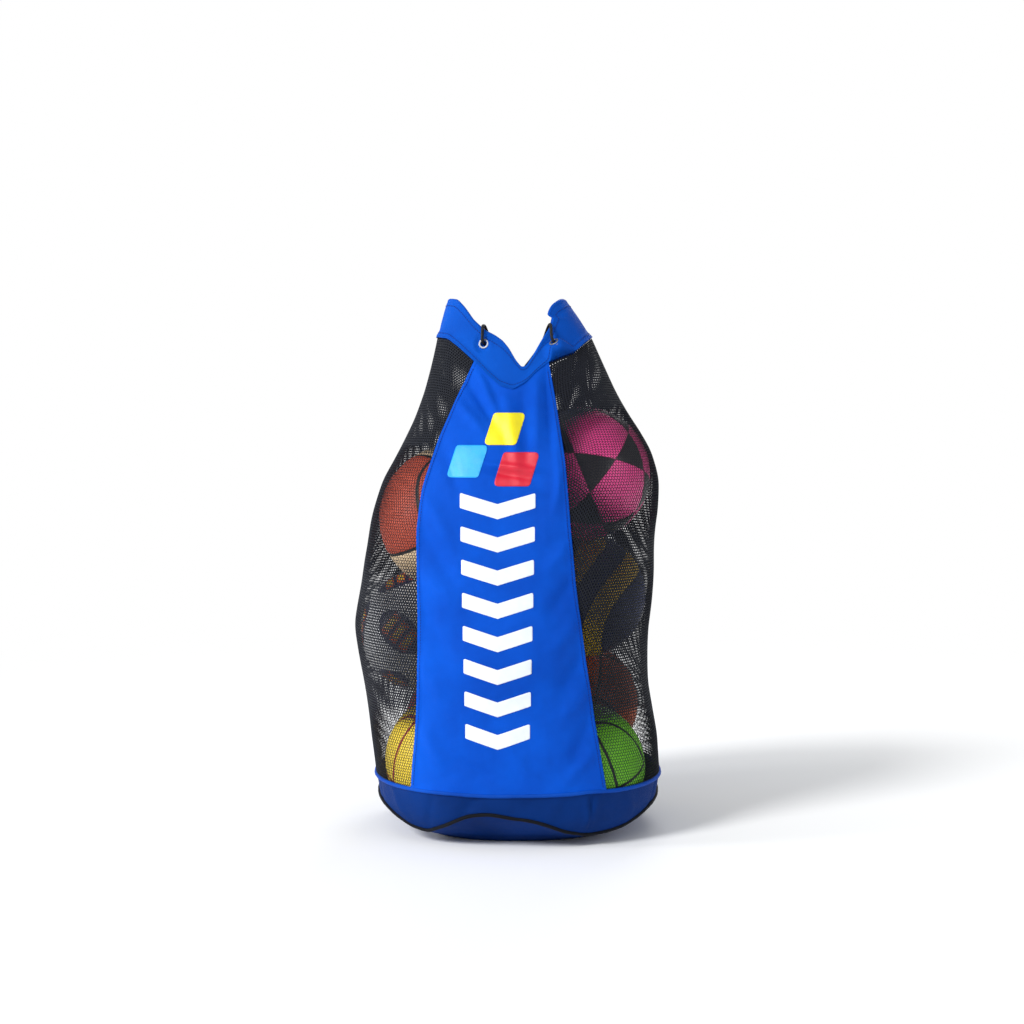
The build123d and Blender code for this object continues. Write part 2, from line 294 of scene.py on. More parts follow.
# Seams on the front view, as (x, z); the back has the same lines.
COLLAR_SEAM = MM * np.array([(-137, 804), (-110, 798), (-92, 783), (-66, 758), (-46, 736), (-28, 720),
                             (-8, 714), (13, 727), (30, 744), (46, 757), (68, 768), (90, 776),
                             (105, 790), (121, 803)])
COLLAR_RIM = MM * np.array([(-120, 864), (-110, 862), (-98, 859), (-86, 846), (-72, 826), (-54, 809),
                            (-35, 799), (-24, 791), (-14, 779), (-3, 760), (6, 749), (14, 751),
                            (26, 770), (40, 794), (52, 812), (57, 826), (62, 850), (72, 861),
                            (80, 862), (100, 864)])
PANEL_LEFT = MM * np.array([(-166, 80), (-162, 190), (-160, 300), (-160, 400), (-159, 490), (-148, 565),
                            (-126, 634), (-96, 700), (-66, 762), (-40, 830)])
PANEL_RIGHT = MM * np.array([(138, 80), (119, 227), (107, 310), (97, 384), (87, 480), (76, 603),
                             (62, 690), (47, 765), (34, 830)])


def smooth_line(line, key, value, at, width=9):
    """A drawn seam read as a smooth curve."""
    fine = np.linspace(line[0, key], line[-1, key], 200)
    drawn = np.interp(fine, line[:, key], line[:, value])
    window = np.hanning(width + 2)[1:-1]
    window /= window.sum()
    longer = np.pad(drawn, width // 2, mode="reflect", reflect_type="odd")
    return np.interp(at, fine, np.convolve(longer, window, mode="valid"))


def seam_height(x):
    return smooth_line(COLLAR_SEAM, 0, 1, x)


def rim_height(x):
    return smooth_line(COLLAR_RIM, 0, 1, x, 7)


seam_dip = float(COLLAR_SEAM[:, 1].min())
print("wall", len(fine_height), "levels, seam dips to", round(seam_dip, 3), "m")

# %% [markdown]
# ## The skin: net and cloth pulled tight over the balls
# A full net bag takes its shape from the balls: the net touches a ball, then runs
# straight to the next. It could be a cloth simulation with the balls as collision
# objects. A membrane on a grid does the same faster and always alike: each point lies on
# a spoke from the bag's middle, moves towards its neighbours' average, and never goes
# inside a ball. The bottom row is sewn to the piping and the top row to the collar.

# %% Balls from the frame
BALL_NAMES = [name for name in sorted(frame["nodes"]) if name.endswith("_ball")]
balls = {}
for name in BALL_NAMES:
    low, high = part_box(name)
    balls[name] = ((low + high) / 2, (high - low).x / 2)
print("balls", {name: round(radius, 3) for name, (middle, radius) in balls.items()})

# %% Grid of the skin
ROWS = 150
GORES = {"right": 66, "back": 56, "left": 66, "front": 56}
share = np.linspace(0, 1, ROWS)[:, None]


def gore_turns(gore, height):
    """The turns of a gore's two long edges at a height, in the order that the gores run."""
    left_x = smooth_line(PANEL_LEFT, 1, 0, height)
    right_x = smooth_line(PANEL_RIGHT, 1, 0, height)
    front_left = turn_at(left_x, height, True) + 2 * math.pi
    front_right = turn_at(right_x, height, True)
    back_right = turn_at(right_x, height, False)
    back_left = turn_at(left_x, height, False)
    edges = {"right": (front_right, back_right), "back": (back_right, back_left),
             "left": (back_left, front_left), "front": (front_left, front_right + 2 * math.pi)}
    return edges[gore]


turn_parts, height_parts, gore_start = [], [], {}
for gore, columns in GORES.items():
    gore_start[gore] = sum(part.shape[1] for part in turn_parts)
    across = np.linspace(0, 1, columns + 1)[None, :-1]
    height = BAND_TOP + share * 0.68 + 0 * across
    for _ in range(12):
        first, last = gore_turns(gore, height)
        turn = first + (last - first) * across
        middle, x, y = wall_direction(turn, height)
        top = seam_height(np.clip(middle + x, -0.137, 0.121))
        height = BAND_TOP + share * (top - BAND_TOP)
    turn_parts.append(turn)
    height_parts.append(height)
TURN = np.concatenate(turn_parts, 1)
HEIGHT = np.concatenate(height_parts, 1)
COLUMNS = TURN.shape[1]

middle, arm_x, arm_y = wall_direction(TURN, HEIGHT)
wall_reach = np.hypot(arm_x, arm_y)
spoke_x, spoke_y = arm_x / wall_reach, arm_y / wall_reach

# %% Pull the skin tight
BALL_CLEARANCE = 2.2 * MM
ball_reach = np.zeros_like(wall_reach)
for ball_middle, radius in balls.values():
    away_x = middle - ball_middle.x
    away_y = 0 - ball_middle.y
    half_b = away_x * spoke_x + away_y * spoke_y
    full = (radius + BALL_CLEARANCE) ** 2
    inside = half_b**2 - (away_x**2 + away_y**2 + (HEIGHT - ball_middle.z) ** 2 - full)
    reach = np.where(inside > 0, -half_b + np.sqrt(np.maximum(inside, 0)), 0)
    ball_reach = np.maximum(ball_reach, reach)


def skin_points(reach, lift=0.0):
    return np.stack([middle + spoke_x * (reach + lift), spoke_y * (reach + lift), HEIGHT], -1)


TIGHT_STEPS = 1500
reach = wall_reach.copy()
for step in range(TIGHT_STEPS):
    points = skin_points(reach)
    around = (np.roll(points, 1, 1) + np.roll(points, -1, 1)) / 2
    above = np.concatenate([points[1:], points[-1:]])
    below = np.concatenate([points[:1], points[:-1]])
    pull = 0.5 * around + 0.25 * (above + below) - points
    outward = pull[..., 0] * spoke_x + pull[..., 1] * spoke_y
    outward[0] = outward[-1] = 0
    reach = np.maximum(reach + 0.9 * outward, ball_reach)
    reach[0], reach[-1] = wall_reach[0], wall_reach[-1]
side_on = np.abs(spoke_x) ** 3
SLACK = 0.74 + 0.12 * side_on      # how much of the sewn shape the net keeps
skin_reach = np.maximum(reach + SLACK * (wall_reach - reach), ball_reach)
print("skin", ROWS, "x", COLUMNS, "pulled in by up to",
      round(float((wall_reach - skin_reach).max() * 1000), 1), "mm")

# %% [markdown]
# ## Reading the skin anywhere
# The cloth, the print and the stitches all lie on the skin, so they need its place and
# its outward direction at any column and row, between grid points too.

# %% Skin reader
skin = skin_points(skin_reach)


def smooth_normals(points):
    """Outward directions of a grid that closes round."""
    along = np.roll(points, -1, 1) - np.roll(points, 1, 1)
    up = np.gradient(points, axis=0)
    normal = np.cross(along, up)
    return normal / np.maximum(np.linalg.norm(normal, axis=-1, keepdims=True), 1e-12)


skin_normal = smooth_normals(skin)


def read_grid(values, row, column):
    """Grid values at fractional rows and columns; columns wrap round."""
    row = np.clip(row, 0, ROWS - 1.001)
    low_row = np.floor(row).astype(int)
    low_column = np.floor(column).astype(int)
    up = (row - low_row)[..., None]
    side = (column - low_column)[..., None]
    next_column = (low_column + 1) % COLUMNS
    low_column = low_column % COLUMNS
    lower = values[low_row, low_column] * (1 - side) + values[low_row, next_column] * side
    upper = values[low_row + 1, low_column] * (1 - side) + values[low_row + 1, next_column] * side
    return lower * (1 - up) + upper * up


def skin_place(row, column, lift):
    """A point of the skin, lifted outwards."""
    return read_grid(skin, row, column) + read_grid(skin_normal, row, column) * np.asarray(lift)[..., None]


print("skin x", round(float(skin[..., 0].min()), 3), "to", round(float(skin[..., 0].max()), 3))

# %% [markdown]
# ## Materials
# Every cloth here is woven, so the weave is a shader group: two crossed sets of rounded
# yarns, over and under, read from the cloth's own UV map in millimetres. It could be an
# image, but a formula keeps its sharpness close up. Object coordinates drive the slow
# changes of colour: worn ink on the print, and on the cloth random darker patches of
# painted shade. The cloth also darkens where its weave sinks: painted shade between the yarns.

# %% Shader helpers
def node(tree, kind, **settings):
    made = tree.nodes.new(kind)
    for name, value in settings.items():
        if name.startswith("in_"):
            key = name[3:]
            made.inputs[int(key) if key.isdigit() else key].default_value = value
        else:
            setattr(made, name, value)
    return made


def calculate(tree, operation, first, second=None, third=None, clamp=False):
    made = node(tree, "ShaderNodeMath", operation=operation, use_clamp=clamp)
    for slot, value in enumerate((first, second, third)):
        if value is None:
            continue
        if isinstance(value, (int, float)):
            made.inputs[slot].default_value = value
        else:
            tree.links.new(value, made.inputs[slot])
    return made.outputs[0]


def blend_colours(tree, amount, first, second):
    made = node(tree, "ShaderNodeMix", data_type="RGBA")
    for socket, value in ((made.inputs[0], amount), (made.inputs[6], first), (made.inputs[7], second)):
        if isinstance(value, (int, float, tuple)):
            socket.default_value = value
        else:
            tree.links.new(value, socket)
    return made.outputs[2]


def srgb(red, green, blue):
    """A colour as screens give it, turned to the linear values that shaders use."""
    def linear(value):
        value = value / 255
        return value / 12.92 if value <= 0.04045 else ((value + 0.055) / 1.055) ** 2.4
    return (linear(red), linear(green), linear(blue), 1.0)


def new_material(name, roughness=0.7, **settings):
    """A material with its Principled shader, whose plain numbers are set on its sockets."""
    made = bpy.data.materials.new(name)
    made.use_nodes = True
    shader = made.node_tree.nodes["Principled BSDF"]
    shader.inputs["Roughness"].default_value = roughness
    for key, value in settings.items():
        shader.inputs[key.replace("_", " ")].default_value = value
    return made, made.node_tree, shader


def noise(tree, vector, scale, detail=3.0, roughness=0.55):
    made = node(tree, "ShaderNodeTexNoise", in_Scale=scale, in_Detail=detail, in_Roughness=roughness)
    tree.links.new(vector, made.inputs["Vector"])
    return made.outputs["Fac"]


def bump(tree, shader, height, distance, strength=1.0):
    made = node(tree, "ShaderNodeBump", in_Distance=distance, in_Strength=strength)
    tree.links.new(height, made.inputs["Height"])
    tree.links.new(made.outputs[0], shader.inputs["Normal"])


# %% Weave group
def make_weave():
    """UV in millimetres in, height and shade of a plain weave out."""
    tree = bpy.data.node_groups.new("plain_weave", "ShaderNodeTree")
    tree.interface.new_socket(name="Vector", in_out="INPUT", socket_type="NodeSocketVector")
    tree.interface.new_socket(name="Yarns per mm", in_out="INPUT", socket_type="NodeSocketFloat")
    tree.interface.new_socket(name="Height", in_out="OUTPUT", socket_type="NodeSocketFloat")
    tree.interface.new_socket(name="Shade", in_out="OUTPUT", socket_type="NodeSocketFloat")
    entry = node(tree, "NodeGroupInput")
    leave = node(tree, "NodeGroupOutput")
    split = node(tree, "ShaderNodeSeparateXYZ")
    tree.links.new(entry.outputs["Vector"], split.inputs[0])
    across = calculate(tree, "MULTIPLY", split.outputs[0], entry.outputs["Yarns per mm"])
    along = calculate(tree, "MULTIPLY", split.outputs[1], entry.outputs["Yarns per mm"])
    waves = [calculate(tree, "SINE", calculate(tree, "MULTIPLY", count, math.pi))
             for count in (across, along)]
    warp, weft = [calculate(tree, "ABSOLUTE", wave) for wave in waves]
    cell = calculate(tree, "ADD", calculate(tree, "FLOOR", across), calculate(tree, "FLOOR", along))
    over = calculate(tree, "MODULO", calculate(tree, "ABSOLUTE", cell), 2)
    height = calculate(tree, "ADD", calculate(tree, "MULTIPLY", warp, over),
                       calculate(tree, "MULTIPLY", weft, calculate(tree, "SUBTRACT", 1, over)))
    tree.links.new(height, leave.inputs["Height"])
    shade = node(tree, "ShaderNodeTexNoise", in_Scale=0.9, in_Detail=2.0)
    tree.links.new(entry.outputs["Vector"], shade.inputs["Vector"])
    tree.links.new(shade.outputs["Fac"], leave.inputs["Shade"])
    return tree


WEAVE = make_weave()


# %% Cloth material
def cloth_material(name, bright, dark, roughness=0.62, yarns=2.2, sheen=0.04):
    """Coated polyester: a fine weave, slow patches of painted shade, painted shade where the weave sinks
    between the yarns, and a soft sheen.
    """
    made, tree, shader = new_material(name, roughness, Sheen_Weight=sheen, Sheen_Roughness=0.45)
    shader.inputs["Sheen Tint"].default_value = bright
    shader.inputs["Specular IOR Level"].default_value = 0.08
    uv = node(tree, "ShaderNodeUVMap", uv_map="UVMap")
    place = node(tree, "ShaderNodeTexCoord")
    weave = node(tree, "ShaderNodeGroup", node_tree=WEAVE)
    weave.inputs["Yarns per mm"].default_value = yarns
    tree.links.new(uv.outputs[0], weave.inputs["Vector"])
    # Painted shade: slow random patches mix in the darker blue, standing in for the cloth's soft shading.
    slow = noise(tree, place.outputs["Object"], 9.0, 4.0)
    slow = calculate(tree, "MULTIPLY_ADD", slow, 1.7, -0.35, clamp=True)
    colour = blend_colours(tree, slow, dark, bright)
    # Painted shade: the colour sinks towards a deeper blue where the weave is low, between the yarns, mixed
    # with the yarns' random tone.
    yarn = calculate(tree, "MULTIPLY_ADD", weave.outputs["Height"], 0.30, 0.12)
    shade = calculate(tree, "MULTIPLY", weave.outputs["Shade"], 0.35)
    yarn = calculate(tree, "ADD", yarn, shade, clamp=True)
    painted_gap_shade = tuple(value * 0.62 for value in dark[:3]) + (1.0,)
    colour = blend_colours(tree, calculate(tree, "SUBTRACT", 0.62, yarn, clamp=True), colour, painted_gap_shade)
    tree.links.new(colour, shader.inputs["Base Color"])
    crumple = noise(tree, place.outputs["Object"], 38.0, 3.0)
    height = calculate(tree, "ADD", calculate(tree, "MULTIPLY", weave.outputs["Height"], 0.22),
                       calculate(tree, "MULTIPLY", crumple, 2.6))
    bump(tree, shader, height, 0.0011, 0.55)
    return made


BLUE_CLOTH = cloth_material("blue_cloth_weave", srgb(0, 92, 220), srgb(0, 66, 176))
COLLAR_CLOTH = cloth_material("collar_cloth_weave", srgb(0, 90, 204), srgb(0, 68, 168))
# Painted shade: the band and the base disc get a darker blue than the panels, standing in for the shade low
# down by the floor.
BAND_CLOTH = cloth_material("band_cloth_weave", srgb(0, 53, 130), srgb(0, 38, 98))
BASE_CLOTH = cloth_material("base_cloth_weave", srgb(0, 54, 132), srgb(0, 36, 94))
BLUE_PIPING = cloth_material("blue_piping_weave", srgb(10, 84, 196), srgb(4, 58, 150), 0.5, 1.6)
BLACK_PIPING = cloth_material("black_piping_weave", srgb(24, 26, 34), srgb(12, 13, 18), 0.5, 1.6)
print("cloth materials", [item.name for item in bpy.data.materials if "weave" in item.name])


# %% Ink, thread, net and cord materials
def ink_material(name, colour, worn):
    """Screen ink: a thin smooth film that still shows the weave under it."""
    made, tree, shader = new_material(name, 0.42, Coat_Weight=0.12, Coat_Roughness=0.35)
    uv = node(tree, "ShaderNodeUVMap", uv_map="UVMap")
    place = node(tree, "ShaderNodeTexCoord")
    weave = node(tree, "ShaderNodeGroup", node_tree=WEAVE)
    weave.inputs["Yarns per mm"].default_value = 2.2
    tree.links.new(uv.outputs[0], weave.inputs["Vector"])
    blotch = noise(tree, place.outputs["Object"], 60.0, 4.0)
    mottle = calculate(tree, "MULTIPLY_ADD", blotch, 1.5, -0.3, clamp=True)
    tree.links.new(blend_colours(tree, mottle, worn, colour), shader.inputs["Base Color"])
    height = calculate(tree, "MULTIPLY_ADD", weave.outputs["Height"], 0.12,
                       calculate(tree, "MULTIPLY", noise(tree, place.outputs["Object"], 38.0), 2.6))
    bump(tree, shader, height, 0.0010, 0.45)
    return made


YELLOW_INK = ink_material("yellow_ink", srgb(250, 234, 10), srgb(238, 220, 10))
RED_INK = ink_material("red_ink", srgb(216, 14, 50), srgb(198, 12, 44))
SKY_INK = ink_material("sky_ink", srgb(2, 172, 250), srgb(6, 156, 238))
WHITE_INK = ink_material("white_ink", srgb(236, 241, 250), srgb(222, 230, 243))


def yarn_material(name, bright, dark, roughness, twist):
    """Twisted or braided yarn: fine slanted fibres along the strand, with painted shade in the grooves
    between them.
    """
    made, tree, shader = new_material(name, roughness)
    shader.inputs["Specular IOR Level"].default_value = 0.22
    place = node(tree, "ShaderNodeTexCoord")
    fibre = node(tree, "ShaderNodeTexWave", in_Scale=twist, in_Distortion=3.0, in_Detail=2.0)
    fibre.bands_direction = "DIAGONAL"
    tree.links.new(place.outputs["Object"], fibre.inputs["Vector"])
    slow = noise(tree, place.outputs["Object"], 40.0)
    # Painted shade: lighter on the raised fibres and darker in the grooves between them, mixed with a slow
    # random tone.
    amount = calculate(tree, "ADD", calculate(tree, "MULTIPLY", fibre.outputs["Fac"], 0.6),
                       calculate(tree, "MULTIPLY", slow, 0.5), clamp=True)
    tree.links.new(blend_colours(tree, amount, dark, bright), shader.inputs["Base Color"])
    bump(tree, shader, fibre.outputs["Fac"], 0.0002, 0.5)
    return made


NET_YARN = yarn_material("black_net_yarn", srgb(26, 30, 41), srgb(11, 13, 20), 0.6, 700.0)
BLUE_THREAD = yarn_material("blue_sewing_thread", srgb(1, 46, 140), srgb(0, 28, 92), 0.5, 900.0)
CORD_YARN = yarn_material("black_cord_yarn", srgb(30, 31, 36), srgb(8, 8, 11), 0.45, 420.0)
print("materials", len(bpy.data.materials))

# %% [markdown]
# ## Drawcord ends
# The cord is a five millimetre braid. Each end leaves its eyelet, goes up over the rim
# and down inside the mouth through the cord lock to the knot. A bevelled curve would be
# smooth, so the route is one NURBS spline and the braid is a tube laid on points read
# back from it, with eight strands crossing as raised diamonds.

# %% Routes of the two cord ends
CORD_RADIUS = 2.5 * MM
CORD_GIRTH = 15.7      # millimetres round the cord, for its UV


def node_middle(name):
    low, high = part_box(name)
    return (low + high) / 2


left_eyelet = node_middle("left_eyelet")
right_eyelet = node_middle("right_eyelet")
RIGHT_AXIS = Vector((-0.45, -0.45, 0.77)).normalized()
left_direction = Vector((-0.39, -0.91, 0.14)).normalized()
TAIL_ROUTES = {
    "left_tail": [left_eyelet - left_direction * 0.005, left_eyelet + left_direction * 0.0065]
    + [Vector(p) * MM for p in ((-56, -106, 801), (-56, -102, 814), (-53, -90, 816), (-49, -78, 806),
                                (-41, -72, 786), (-24, -71, 763), (-9, -72.5, 745),
                                (-3.5, -74, 732), (-3.5, -74, 716), (-3.5, -74, 660))],
    "right_tail": [right_eyelet - RIGHT_AXIS * 0.012, right_eyelet - RIGHT_AXIS * 0.006,
                   right_eyelet + RIGHT_AXIS * 0.008]
    + [Vector(p) * MM for p in ((53, -104, 811), (52, -92, 819), (48, -77, 812), (41, -70, 790),
                                (25, -70, 766), (9, -72.5, 746),
                                (3.5, -74, 733), (3.5, -74, 717), (3.5, -74, 660))],
}


def spline_points(name, route):
    """Points of a smooth NURBS line through a route's space, read from a bare curve."""
    curve = bpy.data.curves.new(name + "_line", "CURVE")
    curve.dimensions = "3D"
    curve.resolution_u = 24
    line = curve.splines.new("NURBS")
    line.points.add(len(route) - 1)
    for point, place in zip(line.points, route):
        point.co = (*place, 1)
    line.order_u = 3
    line.use_endpoint_u = True
    holder = bpy.data.objects.new(name + "_line", curve)
    scene.collection.objects.link(holder)
    graph = bpy.context.evaluated_depsgraph_get()
    mesh = bpy.data.meshes.new_from_object(holder.evaluated_get(graph))
    places = np.array([vertex.co[:] for vertex in mesh.vertices])
    bpy.data.objects.remove(holder)
    return places


def even_points(places, spacing):
    """Evenly spaced points along a line, and its length."""
    steps = np.linalg.norm(np.diff(places, axis=0), axis=1)
    travelled = np.concatenate([[0], np.cumsum(steps)])
    count = max(int(travelled[-1] / spacing), 3)
    at = np.linspace(0, travelled[-1], count)
    even = np.stack([np.interp(at, travelled, places[:, axis]) for axis in range(3)], 1)
    return even, travelled[-1]


def ring_frames(places):
    """Two cross directions at each point that don't twist along the line."""
    forward = np.gradient(places, axis=0)
    forward /= np.linalg.norm(forward, axis=1, keepdims=True)
    side = np.cross(forward[0], (0, 0, 1.0))
    if np.linalg.norm(side) < 0.1:
        side = np.cross(forward[0], (1.0, 0, 0))
    sides = []
    for direction in forward:
        side = side - direction * np.dot(side, direction)
        side = side / np.linalg.norm(side)
        sides.append(side)
    sides = np.array(sides)
    return sides, np.cross(forward, sides)


def tube(name, places, radius, around=24, relief=None, spacing=1.0):
    """A round tube along points, with capped ends, UV in millimetres and optional relief."""
    sides, others = ring_frames(places)
    angle = np.arange(around) / around * 2 * math.pi
    along = np.arange(len(places))[:, None] * spacing
    size = np.asarray(radius).reshape(-1, 1) * np.ones((len(places), around))
    if relief is not None:
        size = size * relief(angle[None, :], along)
    points = (places[:, None] + sides[:, None] * (np.cos(angle)[None, :, None] * size[..., None])
              + others[:, None] * (np.sin(angle)[None, :, None] * size[..., None]))
    flat = points.reshape(-1, 3)
    faces = grid_faces(len(places), around, wrap=True)
    faces.append(list(range(around))[::-1])
    faces.append([(len(places) - 1) * around + i for i in range(around)])
    made = mesh_object(name, flat, faces)
    girth = np.broadcast_to(angle / (2 * math.pi) * CORD_GIRTH, size.shape)
    add_uv(made, np.stack([girth, np.broadcast_to(along * 1000, size.shape)], -1).reshape(-1, 2))
    return made


def braid(angle, along):
    """Eight strands crossing: diamonds raised by a tenth of the radius."""
    turns = along * 1000 / 7.0 * math.pi
    crossing = np.sin(4 * angle + turns) * np.sin(4 * angle - turns)
    return 0.93 + 0.09 * np.abs(crossing) ** 0.6


cord_lines = {}
for name, route in TAIL_ROUTES.items():
    line = spline_points(name, route)
    places, length = even_points(line, 0.5 * MM)
    cord_lines[name] = (places, length)
    piece = tube(name + "_braid", places, CORD_RADIUS, 32, relief=braid, spacing=0.5 * MM)
    piece.data.materials.append(CORD_YARN)
    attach(piece, "front_lip")
    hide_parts(name)
    print(name, "length", round(length, 4), "m,", triangles(piece), "triangles")

# %% [markdown]
# ## The net
# Real ball nets are knitted: rows of hexagonal holes with yarn between. A net could be a
# smooth sheet whose material has see-through spots, but real strands catch the light and
# show the balls through true holes. A triangular lattice is laid on the skin; Geometry
# Nodes turns it into its dual, which is hexagons, insets every hexagon, removes its
# middle, and raises the strands between the holes to a rounded ridge on both faces.

# %% Net node tree
def tree_for(name, sizes):
    """An empty geometry tree with a mesh in, a mesh out and named sizes."""
    tree = bpy.data.node_groups.new(name, "GeometryNodeTree")
    tree.interface.new_socket(name="Geometry", in_out="INPUT", socket_type="NodeSocketGeometry")
    for size, kind in sizes:
        tree.interface.new_socket(name=size, in_out="INPUT", socket_type=kind)
    tree.interface.new_socket(name="Geometry", in_out="OUTPUT", socket_type="NodeSocketGeometry")
    return tree, node(tree, "NodeGroupInput"), node(tree, "NodeGroupOutput")


def keep(tree, name, kind, geometry, value):
    """Store a field on the points of a geometry under a name."""
    made = node(tree, "GeometryNodeStoreNamedAttribute", data_type=kind, domain="POINT", in_Name=name)
    tree.links.new(geometry, made.inputs["Geometry"])
    tree.links.new(value, made.inputs["Value"])
    return made.outputs[0]


def kept(tree, name, kind="FLOAT"):
    """Read back a field that was stored under a name."""
    return node(tree, "GeometryNodeInputNamedAttribute", data_type=kind, in_Name=name).outputs[0]


def spread(tree, domain, field):
    """A field worked out on edges or faces, for use on points."""
    made = node(tree, "GeometryNodeFieldOnDomain", data_type="FLOAT", domain=domain)
    tree.links.new(field, made.inputs[0])
    return made.outputs[0]


def end_tree(tree, geometry, entry, leave):
    """Turn instances into mesh, give it the material and send it out."""
    real = node(tree, "GeometryNodeRealizeInstances")
    tree.links.new(geometry, real.inputs[0])
    finish = node(tree, "GeometryNodeSetMaterial")
    tree.links.new(real.outputs[0], finish.inputs["Geometry"])
    tree.links.new(entry.outputs["Material"], finish.inputs["Material"])
    tree.links.new(finish.outputs[0], leave.inputs[0])


# Points round a hole and points on the net's border stay flat and carry marks. A face
# whose marks average more than this has no corner that is raised.
ALL_CORNERS_FLAT = 0.75


def make_net_tree():
    tree, entry, leave = tree_for("knitted_net", [("Hole share", "NodeSocketFloat"),
                                                  ("Strand thickness", "NodeSocketFloat"),
                                                  ("Material", "NodeSocketMaterial")])
    link = tree.links.new
    dual = node(tree, "GeometryNodeDualMesh")
    link(entry.outputs["Geometry"], dual.inputs[0])
    # Strands at the net's own border keep to the middle, so that the two faces close.
    neighbours = node(tree, "GeometryNodeInputMeshEdgeNeighbors")
    at_border = node(tree, "FunctionNodeCompare", data_type="INT", operation="EQUAL")
    link(neighbours.outputs[0], at_border.inputs[2])
    at_border.inputs[3].default_value = 1
    net = keep(tree, "border", "FLOAT", dual.outputs[0], spread(tree, "EDGE", at_border.outputs[0]))
    net = keep(tree, "outward", "FLOAT_VECTOR", net, node(tree, "GeometryNodeInputNormal").outputs[0])
    inset = node(tree, "GeometryNodeExtrudeMesh", mode="FACES")
    inset.inputs["Offset Scale"].default_value = 0
    inset.inputs["Individual"].default_value = True
    link(net, inset.inputs["Mesh"])
    shrink = node(tree, "GeometryNodeScaleElements", domain="FACE")
    link(inset.outputs["Mesh"], shrink.inputs["Geometry"])
    link(inset.outputs["Top"], shrink.inputs["Selection"])
    hole = calculate(tree, "MULTIPLY", entry.outputs["Hole share"], kept(tree, "opened"))
    link(hole, shrink.inputs["Scale"])
    net = keep(tree, "rim", "FLOAT", shrink.outputs[0], spread(tree, "FACE", inset.outputs["Top"]))
    pierce = node(tree, "GeometryNodeDeleteGeometry", domain="FACE", mode="ALL")
    link(net, pierce.inputs["Geometry"])
    link(inset.outputs["Top"], pierce.inputs["Selection"])
    flat = calculate(tree, "ADD", kept(tree, "rim"), kept(tree, "border"))
    ridge = calculate(tree, "LESS_THAN", flat, 0.001)
    # A face with flat corners only would lie on its own twin, so it goes.
    trim = node(tree, "GeometryNodeDeleteGeometry", domain="FACE", mode="ALL")
    link(pierce.outputs[0], trim.inputs["Geometry"])
    link(calculate(tree, "GREATER_THAN", flat, ALL_CORNERS_FLAT), trim.inputs["Selection"])
    faces = []
    for side in (1, -1):
        lift = node(tree, "ShaderNodeVectorMath", operation="SCALE")
        link(kept(tree, "outward", "FLOAT_VECTOR"), lift.inputs[0])
        height = calculate(tree, "MULTIPLY", entry.outputs["Strand thickness"], side * 0.5)
        link(height, lift.inputs["Scale"])
        raised = node(tree, "GeometryNodeSetPosition")
        link(trim.outputs[0], raised.inputs["Geometry"])
        link(ridge, raised.inputs["Selection"])
        link(lift.outputs[0], raised.inputs["Offset"])
        result = raised.outputs[0]
        if side < 0:
            turned = node(tree, "GeometryNodeFlipFaces")
            link(result, turned.inputs[0])
            result = turned.outputs[0]
        faces.append(result)
    both = node(tree, "GeometryNodeJoinGeometry")
    for face in faces:
        link(face, both.inputs[0])
    sewn = node(tree, "GeometryNodeMergeByDistance")
    sewn.inputs["Distance"].default_value = 2e-5
    link(both.outputs[0], sewn.inputs["Geometry"])
    smooth = node(tree, "GeometryNodeSetShadeSmooth")
    link(sewn.outputs[0], smooth.inputs["Geometry"])
    end_tree(tree, smooth.outputs[0], entry, leave)
    return tree


def run_tree(thing, tree, **sizes):
    """Add the tree with its inputs, then bake it to a plain mesh."""
    modifier = thing.modifiers.new(tree.name, "NODES")
    modifier.node_group = tree
    for item in tree.interface.items_tree:
        key = item.name.replace(" ", "_")
        if item.in_out == "INPUT" and key in sizes:
            modifier[item.identifier] = sizes[key]
    return final_mesh(thing)


NET_TREE = make_net_tree()

# %% [markdown]
# The net is pulled open where a ball presses into it, slack between the balls, and
# gathered under the collar. So each lattice point also says how open its hole is.

# %% Net lattice on the skin
NET_PITCH = 5.1 * MM
HOLE_SHARE = 0.81
STRAND_THICKNESS = 1.1 * MM
NET_LIFT = 0.6 * MM
HEM_COVER = 7 * MM
PRESS_REACH = 0.068      # a ball stops opening the net at 1.32 times this distance
SLACK_HOLE = 0.46        # how open a hole is where no ball presses
GATHER_FROM, GATHER_OVER = 0.56, 0.12
pressed = ease(1.32 - (skin_reach - ball_reach) / PRESS_REACH)
gathered = ease((HEIGHT - GATHER_FROM) / GATHER_OVER) * (1 - 0.8 * pressed)
net_open = (SLACK_HOLE + 0.54 * pressed) * (1 - 0.12 * gathered)


